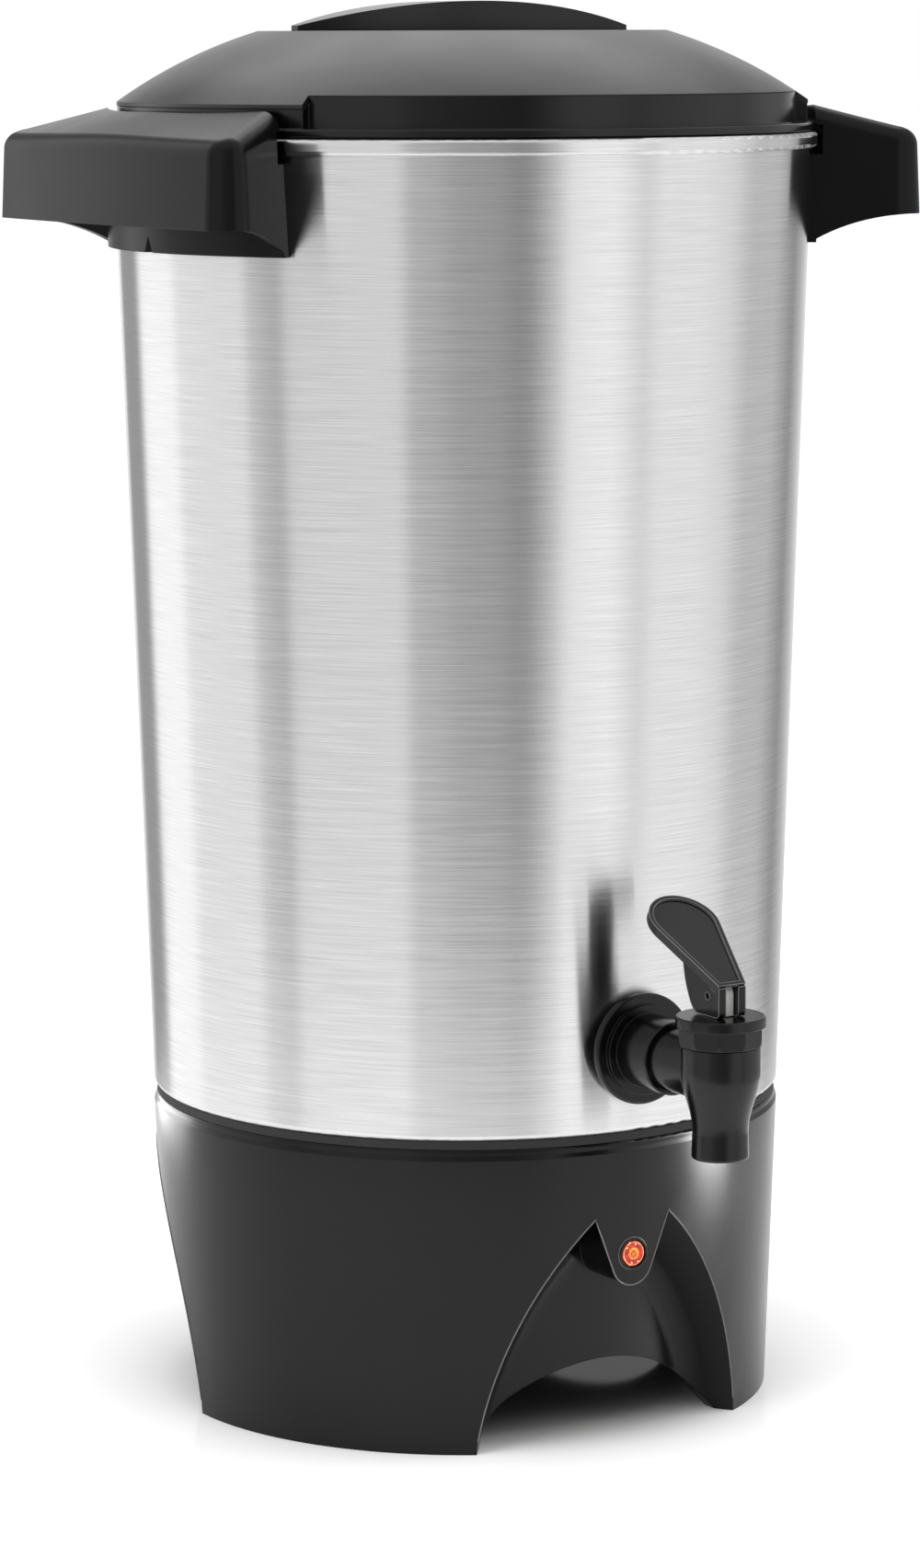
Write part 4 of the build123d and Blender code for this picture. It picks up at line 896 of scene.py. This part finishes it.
class LampRole(Enum):
    """What a lamp is there for."""

    SOFT_LIGHT = "soft light"
    LOW_SHEEN = "sheen on the base"
    TOP_SHEEN = "sheen on the lid and the handles"


@dataclass(frozen=True)
class SoftBox:
    """One soft lamp: where it stands, how large it is, and how strong."""

    name: str
    azimuth: float  # degrees round from the front, positive towards +X
    distance: float
    height: float
    width: float
    tall: float
    watts: float
    role: LampRole = LampRole.SOFT_LIGHT


@dataclass
class Studio:
    """White table and background with soft lamps, as in a product studio."""

    floor_size: float = 40.0
    floor_shine: float = 0.10
    floor_shine_roughness: float = 0.08
    # Painted shadow: the table's whiteness drops under the urn.
    floor_shade: tuple[float, float] = (0.2, 0.9)  # whiteness of the table under the urn and beside it
    floor_shade_reach: tuple[float, float] = (0.045, 0.105)  # distances from the axis where these hold
    # Painted light on the table, fading to none near the urn as a painted shadow.
    floor_glow: tuple[tuple[float, float], ...] = (  # distance from the axis, and light added there
        (0.08, 0.0),
        (0.115, 0.26),
        (0.16, 0.42),
        (1.2, 0.52),
        (3.0, 0.62),
    )
    ambient: float = 0.5
    aim_height: float = 0.22  # half way up the urn, where every soft box points
    boxes: tuple[SoftBox, ...] = (
        SoftBox("key", -78.0, 1.5, 0.9, 1.0, 1.6, 16.0),
        SoftBox("fill", 62.0, 1.7, 0.9, 1.0, 1.6, 12.0),
        SoftBox("top", -20.0, 0.5, 1.9, 1.4, 1.4, 14.0),
        SoftBox("right_sheen", 60.0, 0.43, 0.16, 0.12, 0.55, 12.0, LampRole.LOW_SHEEN),
        SoftBox("left_sheen", -158.0, 0.43, 0.16, 0.24, 0.55, 2.4, LampRole.LOW_SHEEN),
        SoftBox("back_sheen", 150.0, 0.8, 1.25, 1.0, 1.0, 3.2, LampRole.TOP_SHEEN),
    )

    def build(self, sheen: Mapping[LampRole, Iterable[Object]]) -> None:
        """Make the world, the floor, the cards and the lamps.

        Args:
            sheen: The dark pieces that each kind of sheen lamp draws a highlight on.
        """
        self.world()
        self.floor()
        CardRing().build()
        lit: dict[LampRole, Collection] = {}
        for role, pieces in sheen.items():
            lit[role] = bpy.data.collections.new(role.name.lower())
            for piece in pieces:
                lit[role].objects.link(piece)
        for box in self.boxes:
            self.lamp(box, lit.get(box.role))
        bpy.context.scene.view_settings.view_transform = "Standard"

    def world(self) -> None:
        """White for the camera and for reflections, and a plain level for the light itself."""
        world = bpy.data.worlds.new("studio_white")
        bpy.context.scene.world = world
        world.use_nodes = True
        tree = world.node_tree
        tree.nodes.clear()
        shown = self.seen_directly(tree, with_glass=True)
        plain = add_node(tree, "ShaderNodeBackground", values={"Color": grey(1.0), "Strength": self.ambient})
        white = add_node(tree, "ShaderNodeBackground", values={"Color": grey(1.0), "Strength": 1.0})
        links = {0: shown, 1: plain.outputs["Background"], 2: white.outputs["Background"]}
        mix = add_node(tree, "ShaderNodeMixShader", links=links)
        add_node(tree, "ShaderNodeOutputWorld", links={"Surface": mix.outputs["Shader"]})

    @staticmethod
    def seen_directly(tree: NodeTree, with_glass: bool) -> NodeSocket:
        """Give 1 where the camera, a reflection or clear glass looks, and 0 for the light itself.

        Args:
            tree: The node tree to add to.
            with_glass: Whether looks through glass count.

        Returns:
            The socket that holds the answer.
        """
        path = add_node(tree, "ShaderNodeLightPath")
        seen = calculate(tree, "MAXIMUM", path.outputs["Is Camera Ray"], path.outputs["Is Glossy Ray"])
        if with_glass:
            seen = calculate(tree, "MAXIMUM", seen, path.outputs["Is Transmission Ray"])
        return seen

    def floor(self) -> None:
        """Lay a pale, faintly glossy table top that runs far past the object."""
        half = self.floor_size / 2
        mesh = bpy.data.meshes.new("floor")
        corners = [(-half, -half, 0), (half, -half, 0), (half, half, 0), (-half, half, 0)]
        mesh.from_pydata(corners, [], [(0, 1, 2, 3)])
        mesh.materials.append(self.floor_material())
        floor = put_in_scene("floor", mesh)

    def floor_material(self) -> Material:
        """White table top: a painted shadow dims it under the urn, painted light lifts it to white away from
        it, and it is faintly glossy.
        """
        material = empty_material("white_table_top")
        tree = material.node_tree
        place = add_node(tree, "ShaderNodeTexCoord").outputs["Object"]
        away = calculate(tree, "LENGTH", place, vector=True)
        # Painted shadow: the table's colour darkens towards the urn's axis.
        shade = remap(tree, away, self.floor_shade, self.floor_shade_reach, smooth=True)
        matt = add_node(tree, "ShaderNodeBsdfDiffuse", links={"Color": shade})
        lit = add_node(
            tree, "ShaderNodeAddShader", links={0: matt.outputs["BSDF"], 1: self.floor_light(tree, away)}
        )
        values = {"Color": grey(1.0), "Roughness": self.floor_shine_roughness}
        shine = add_node(tree, "ShaderNodeBsdfGlossy", values=values)
        surface = add_node(
            tree,
            "ShaderNodeMixShader",
            values={0: self.floor_shine},
            links={1: lit.outputs["Shader"], 2: shine.outputs["BSDF"]},
        )
        add_node(tree, "ShaderNodeOutputMaterial", links={"Surface": surface.outputs["Shader"]})
        return material

    def floor_light(self, tree: NodeTree, away: NodeSocket) -> NodeSocket:
        """Paint light on the table that lifts it towards white, as far as the camera and reflections see it;
        it fades to none near the urn, a painted shadow.

        Args:
            tree: The floor's node tree.
            away: Distance from the urn's axis in metres.

        Returns:
            The shader socket to add to the table's own.
        """
        widest, last = self.floor_glow[-1]
        share = remap(tree, away, (0.0, 1.0), (0.0, widest))
        level = add_node(tree, "ShaderNodeFloatCurve", links={"Value": share})
        curve = level.mapping.curves[0]
        curve.points[0].location = (0.0, self.floor_glow[0][1])
        curve.points[1].location = (1.0, last)
        for distance, strength in self.floor_glow:
            curve.points.new(distance / widest, strength)
        for point in curve.points:
            point.handle_type = "VECTOR"
        level.mapping.update()
        links = {"Strength": level.outputs["Value"]}
        glow = add_node(tree, "ShaderNodeEmission", values={"Color": grey(1.0)}, links=links)
        dark = add_node(tree, "ShaderNodeEmission", values={"Color": grey(1.0), "Strength": 0.0})
        seen = self.seen_directly(tree, with_glass=False)
        links = {0: seen, 1: dark.outputs["Emission"], 2: glow.outputs["Emission"]}
        return add_node(tree, "ShaderNodeMixShader", links=links).outputs["Shader"]

    def lamp(self, box: SoftBox, receivers: Collection | None) -> None:
        """Make one soft box that faces the urn.

        Args:
            box: Its place, size and power.
            receivers: The only pieces that a sheen lamp shows on, or None for a lamp that lights everything.
        """
        data = bpy.data.lights.new(box.name, "AREA")
        data.shape = "RECTANGLE"
        data.size = box.width
        data.size_y = box.tall
        data.energy = box.watts
        lamp = put_in_scene(box.name, data)
        turn = radians(box.azimuth)
        lamp.location = (box.distance * sin(turn), -box.distance * cos(turn), box.height)
        aim = Vector((0, 0, self.aim_height)) - lamp.location
        lamp.rotation_euler = aim.to_track_quat("-Z", "Y").to_euler()
        lamp.visible_glossy = receivers is not None
        if receivers is not None:
            lamp.visible_diffuse = False
            lamp.light_linking.receiver_collection = receivers


# ---- sub-assemblies
@dataclass
class SubAssembly:
    """A group of the urn's parts that are dressed together."""

    nodes: Mapping[str, Object]
    finishes: Finishes

    def dress(self, material: Material, *names: str) -> None:
        """Give solid-model nodes a material.

        Args:
            material: The material they get.
            names: Names of the nodes.
        """
        for name in names:
            mesh = self.nodes[name].data
            mesh.materials.clear()
            mesh.materials.append(material)
            LOG.info("dressed %s in %s", name, material.name)

    def add(self, name: str, mesh: Mesh, body: str, slot: str, material: Material) -> Object:
        """Add a built piece to the sub-assembly.

        Args:
            name: Name of the piece.
            mesh: Its mesh.
            body: Name of the body that carries it.
            slot: Name of the material slot that it belongs to; not used.
            material: Its material.

        Returns:
            The new object.
        """
        piece = piece_from_mesh(name, mesh, body, material)
        LOG.info("built %s with %d faces", name, len(mesh.polygons))
        return piece


@dataclass
class Tank(SubAssembly):
    """Brushed tank with its rubber gasket, studs and nuts."""

    def build(self) -> None:
        """Dress the tank and what holds it down."""
        self.dress(self.finishes.tank, "tank")
        self.dress(self.finishes.rubber, "base_gasket")
        self.dress(self.finishes.steel, "tank_studs", "stud_nuts")


@dataclass
class MouldedBase(SubAssembly):
    """Three-legged base with painted highlights along the edges of its arches."""

    foot_radius: float = 97.6 * MM
    draft: float = 0.036  # growth of the skirt's radius with height
    neck_z: float = 90.0 * MM
    edge_radius: float = 0.24 * MM
    least_run: float = 6 * MM
    least_turn: float = 25.0  # smallest angle of an edge that gets a bead
    foot_margin: float = 0.3 * MM  # no bead along the foot
    skin: float = 0.15 * MM  # how near to the skirt's surface an edge lies

    def build(self) -> None:
        """Dress the base, its plate and the cord gland, and lay the beads along the arches."""
        self.dress(self.finishes.satin, "base_housing", "base_plate")
        self.dress(self.finishes.gloss, "cord_gland", "gland_nut")
        self.dress(self.finishes.steel, "plate_screws")
        runs = sharp_runs(self.nodes["base_housing"], self.least_turn, self.on_skirt)
        mesh = bead_mesh(runs, self.edge_radius, self.least_run)
        # The beads' pale grey is a painted highlight along the arch edges.
        self.add("arch_edges", mesh, "urn", "satin_black", self.finishes.edge)

    def on_skirt(self, point: Vector) -> bool:
        """Say whether a point lies on the outside of the skirt, above its foot and below its neck."""
        skirt = self.foot_radius + self.draft * point.z
        between = self.foot_margin < point.z < self.neck_z
        return between and abs(hypot(point.x, point.y) - skirt) < self.skin


@dataclass
class PilotLight(SubAssembly):
    """Bezel, ringed lens with bright facets, and the neon lamp behind it."""

    lens_radius: float = 4.25 * MM
    lens_front: float = -100.5 * MM
    lens_back: float = -99.3 * MM
    height: float = 60.9 * MM
    segments: int = 60
    profile: tuple[tuple[float, float], ...] = (  # shares of the lens's radius and of its depth
        (0.0, 1.0),
        (0.10, 0.98),
        (0.14, 0.80),
        (0.26, 0.78),
        (0.31, 0.96),
        (0.38, 0.98),
        (0.43, 0.76),
        (0.60, 0.74),
        (0.74, 0.66),
        (0.79, 0.84),
        (0.87, 0.82),
        (0.92, 0.55),
        (1.0, 0.30),
        (1.0, 0.0),
        (0.0, 0.0),
    )
    flutes: int = 12
    flute_depth: float = 0.07 * MM
    fluted: tuple[float, float] = (0.43, 0.76)  # shares of the radius between which the lens is fluted
    facets: tuple[tuple[float, float], ...] = (  # distance out in mm and angle in degrees
        (3.75, 112.0),
        (3.1, 140.0),
        (2.9, 74.0),
        (3.0, 258.0),
        (3.7, 248.0),
        (3.2, 302.0),
        (3.5, 324.0),
    )
    facet_radius: float = 0.27 * MM
    facet_flatness: float = 0.5
    facet_depth: float = 0.72  # share of the lens's depth
    halo_colour: str = "ff6a3a"
    halo_watts: float = 0.002
    halo_ahead: float = 2.0  # distance before the lens, in lens radii

    def build(self) -> None:
        """Build the lens and its facets and dress the rest."""
        self.dress(self.finishes.gloss, "pilot_bezel")
        self.dress(self.finishes.glass, "pilot_lamp")
        self.dress(self.finishes.lens, "pilot_lens")
        lens = self.add("pilot_lens_rings", self.lens_mesh(), "urn", "amber_lens", self.finishes.lens)
        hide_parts("pilot_lens")
        self.add("pilot_lens_facets", self.facet_mesh(), "urn", "amber_lens", self.finishes.spark)
        self.halo()

    def stand(self, mesh: Mesh) -> None:
        """Turn a mesh from facing up to facing the front, at the lens's back."""
        mesh.transform(Matrix.Translation((0, self.lens_back, self.height)) @ Matrix.Rotation(pi / 2, 4, "X"))

    def lens_mesh(self) -> Mesh:
        """Turn the lens: a raised middle and two raised rings, fluted between the rings."""
        deep = self.lens_back - self.lens_front
        profile = [(out * self.lens_radius, up * deep) for out, up in self.profile]
        inner, outer = (share * self.lens_radius for share in self.fluted)

        def flute(radius: float, turn: float) -> float:
            """Ripple the lens between its two rings."""
            return self.flute_depth * cos(self.flutes * turn) if inner < radius < outer else 0.0

        mesh = turned_mesh(profile, self.segments, flute)
        self.stand(mesh)
        return mesh

    def facet_mesh(self) -> Mesh:
        """Make the small domes that flash on the lens."""
        shape = bmesh.new()
        deep = self.lens_back - self.lens_front
        for out, angle in self.facets:
            turn = radians(angle)
            place = Matrix.Translation((out * MM * cos(turn), out * MM * sin(turn), self.facet_depth * deep))
            flat = Matrix.Diagonal((1.0, 1.0, self.facet_flatness, 1.0))
            bmesh.ops.create_icosphere(shape, subdivisions=2, radius=self.facet_radius, matrix=place @ flat)
        mesh = smooth_mesh("facets", shape)
        self.stand(mesh)
        return mesh

    def halo(self) -> None:
        """Set a tiny warm lamp before the lens, for the glow on the plastic round it."""
        data = bpy.data.lights.new("lens_halo", "POINT")
        data.color = linear(self.halo_colour)[:3]
        data.energy = self.halo_watts
        data.shadow_soft_size = self.lens_radius
        lamp = put_in_scene("lens_halo", data)
        lamp.location = (0, self.lens_front - self.halo_ahead * self.lens_radius, self.height)
        lamp.visible_glossy = False


@dataclass
class Handles(SubAssembly):
    """Two hollow handles with their screws and seals."""

    def build(self) -> None:
        """Dress the handles and their fixings."""
        self.dress(self.finishes.handle, "handle_left", "handle_right")
        self.dress(self.finishes.steel, "handle_screws")
        self.dress(self.finishes.rubber, "handle_seals")


@dataclass
class Lid(SubAssembly):
    """Satin dome over a gloss band, with a gloss grip."""

    def build(self) -> None:
        """Dress the lid."""
        self.dress(self.finishes.dome, "lid_dome")
        self.dress(self.finishes.gloss, "lid_base", "lid_grip")
        self.dress(self.finishes.steel, "lid_screws")


@dataclass
class Tap(SubAssembly):
    """Tap body, bonnet, stem, valve spring, and lever with painted highlights along its edges."""

    rim_radius: float = 0.16 * MM
    least_run: float = 7 * MM
    least_turn: float = 40.0  # smallest angle of an edge that gets a bead
    wire_radius: float = 0.43 * MM
    turns: int = 5
    steps_per_turn: int = 28
    spring_seat_z: float = 140.1 * MM  # underside of the bonnet, which the spring pushes against
    stem_travel: float = 2.0 * MM

    def build(self) -> None:
        """Dress the tap, wind its spring and lay beads along the lever's long, sharp edges."""
        self.dress(self.finishes.gloss, "tap_body", "tap_collar", "tap_bonnet", "tap_nut")
        self.dress(self.finishes.gloss, "tap_lever", "lever_pin")
        self.dress(self.finishes.nylon, "tap_stem")
        self.dress(self.finishes.rubber, "tap_outer_seal", "tap_inner_seal", "tap_seat_cup")
        self.dress(self.finishes.steel, "tap_spring")
        self.spring()
        runs = sharp_runs(self.nodes["tap_lever"], self.least_turn)
        rim = bead_mesh(runs, self.rim_radius, self.least_run)
        # The rim's pale grey is a painted highlight along the lever's edges.
        self.add("paddle_rim", rim, "lever", "gloss_black", self.finishes.edge)

    def spring(self) -> None:
        """Wind the valve spring as a fixed coil in place of the solid model's spring."""
        low, high = (Vector(corner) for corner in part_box("tap_spring"))
        middle = (low + high) / 2
        coil_radius = (high.x - low.x) / 2 - self.wire_radius
        start, end = low.z + self.wire_radius, high.z - self.wire_radius
        steps = self.turns * self.steps_per_turn
        points = []
        for step in range(steps + 1):
            turn = 2 * pi * step / self.steps_per_turn
            rise = start + (end - start) * step / steps
            x, y = middle.x + coil_radius * cos(turn), middle.y + coil_radius * sin(turn)
            points.append(Vector((x, y, rise)))
        mesh = bead_mesh([(points, False)], self.wire_radius, 0.0)
        coil = self.add("valve_spring_coil", mesh, "urn", "bright_steel", self.finishes.steel)
        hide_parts("tap_spring")
        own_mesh(coil)


@dataclass
class Percolator(SubAssembly):
    """Riser tube, pump foot and valve, coffee basket and spreader."""

    def build(self) -> None:
        """Dress the percolator."""
        self.dress(self.finishes.spun, "pump_tube", "pump_foot", "pump_valve")
        self.dress(self.finishes.spun, "brew_basket", "basket_spreader")


@dataclass
class Electrics(SubAssembly):
    """Heater, thermostat, fuse and terminal block under the tank."""

    def build(self) -> None:
        """Dress the electrical parts."""
        self.dress(self.finishes.spun, "element_clamp")
        self.dress(self.finishes.steel, "heating_element", "heater_stud", "heater_nut")
        self.dress(self.finishes.steel, "thermostat", "fuse_clip")
        self.dress(self.finishes.ceramic, "terminal_block", "thermal_fuse")


# ---- main
PARTS: tuple[type[SubAssembly], ...] = (
    Tank,
    MouldedBase,
    PilotLight,
    Handles,
    Lid,
    Tap,
    Percolator,
    Electrics,
)


def main() -> None:
    """Dress the urn and set the studio."""
    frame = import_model()
    nodes = frame["nodes"]
    finishes = Finishes.build()
    for part in PARTS:
        part(nodes, finishes).build()
    Camera().build()
    top = ("lid_dome", "handle_left", "handle_right")
    Studio().build(
        {LampRole.LOW_SHEEN: [nodes["base_housing"]], LampRole.TOP_SHEEN: [nodes[name] for name in top]}
    )


if __name__ == "__main__":
    logging.basicConfig(level=logging.INFO)
    main()
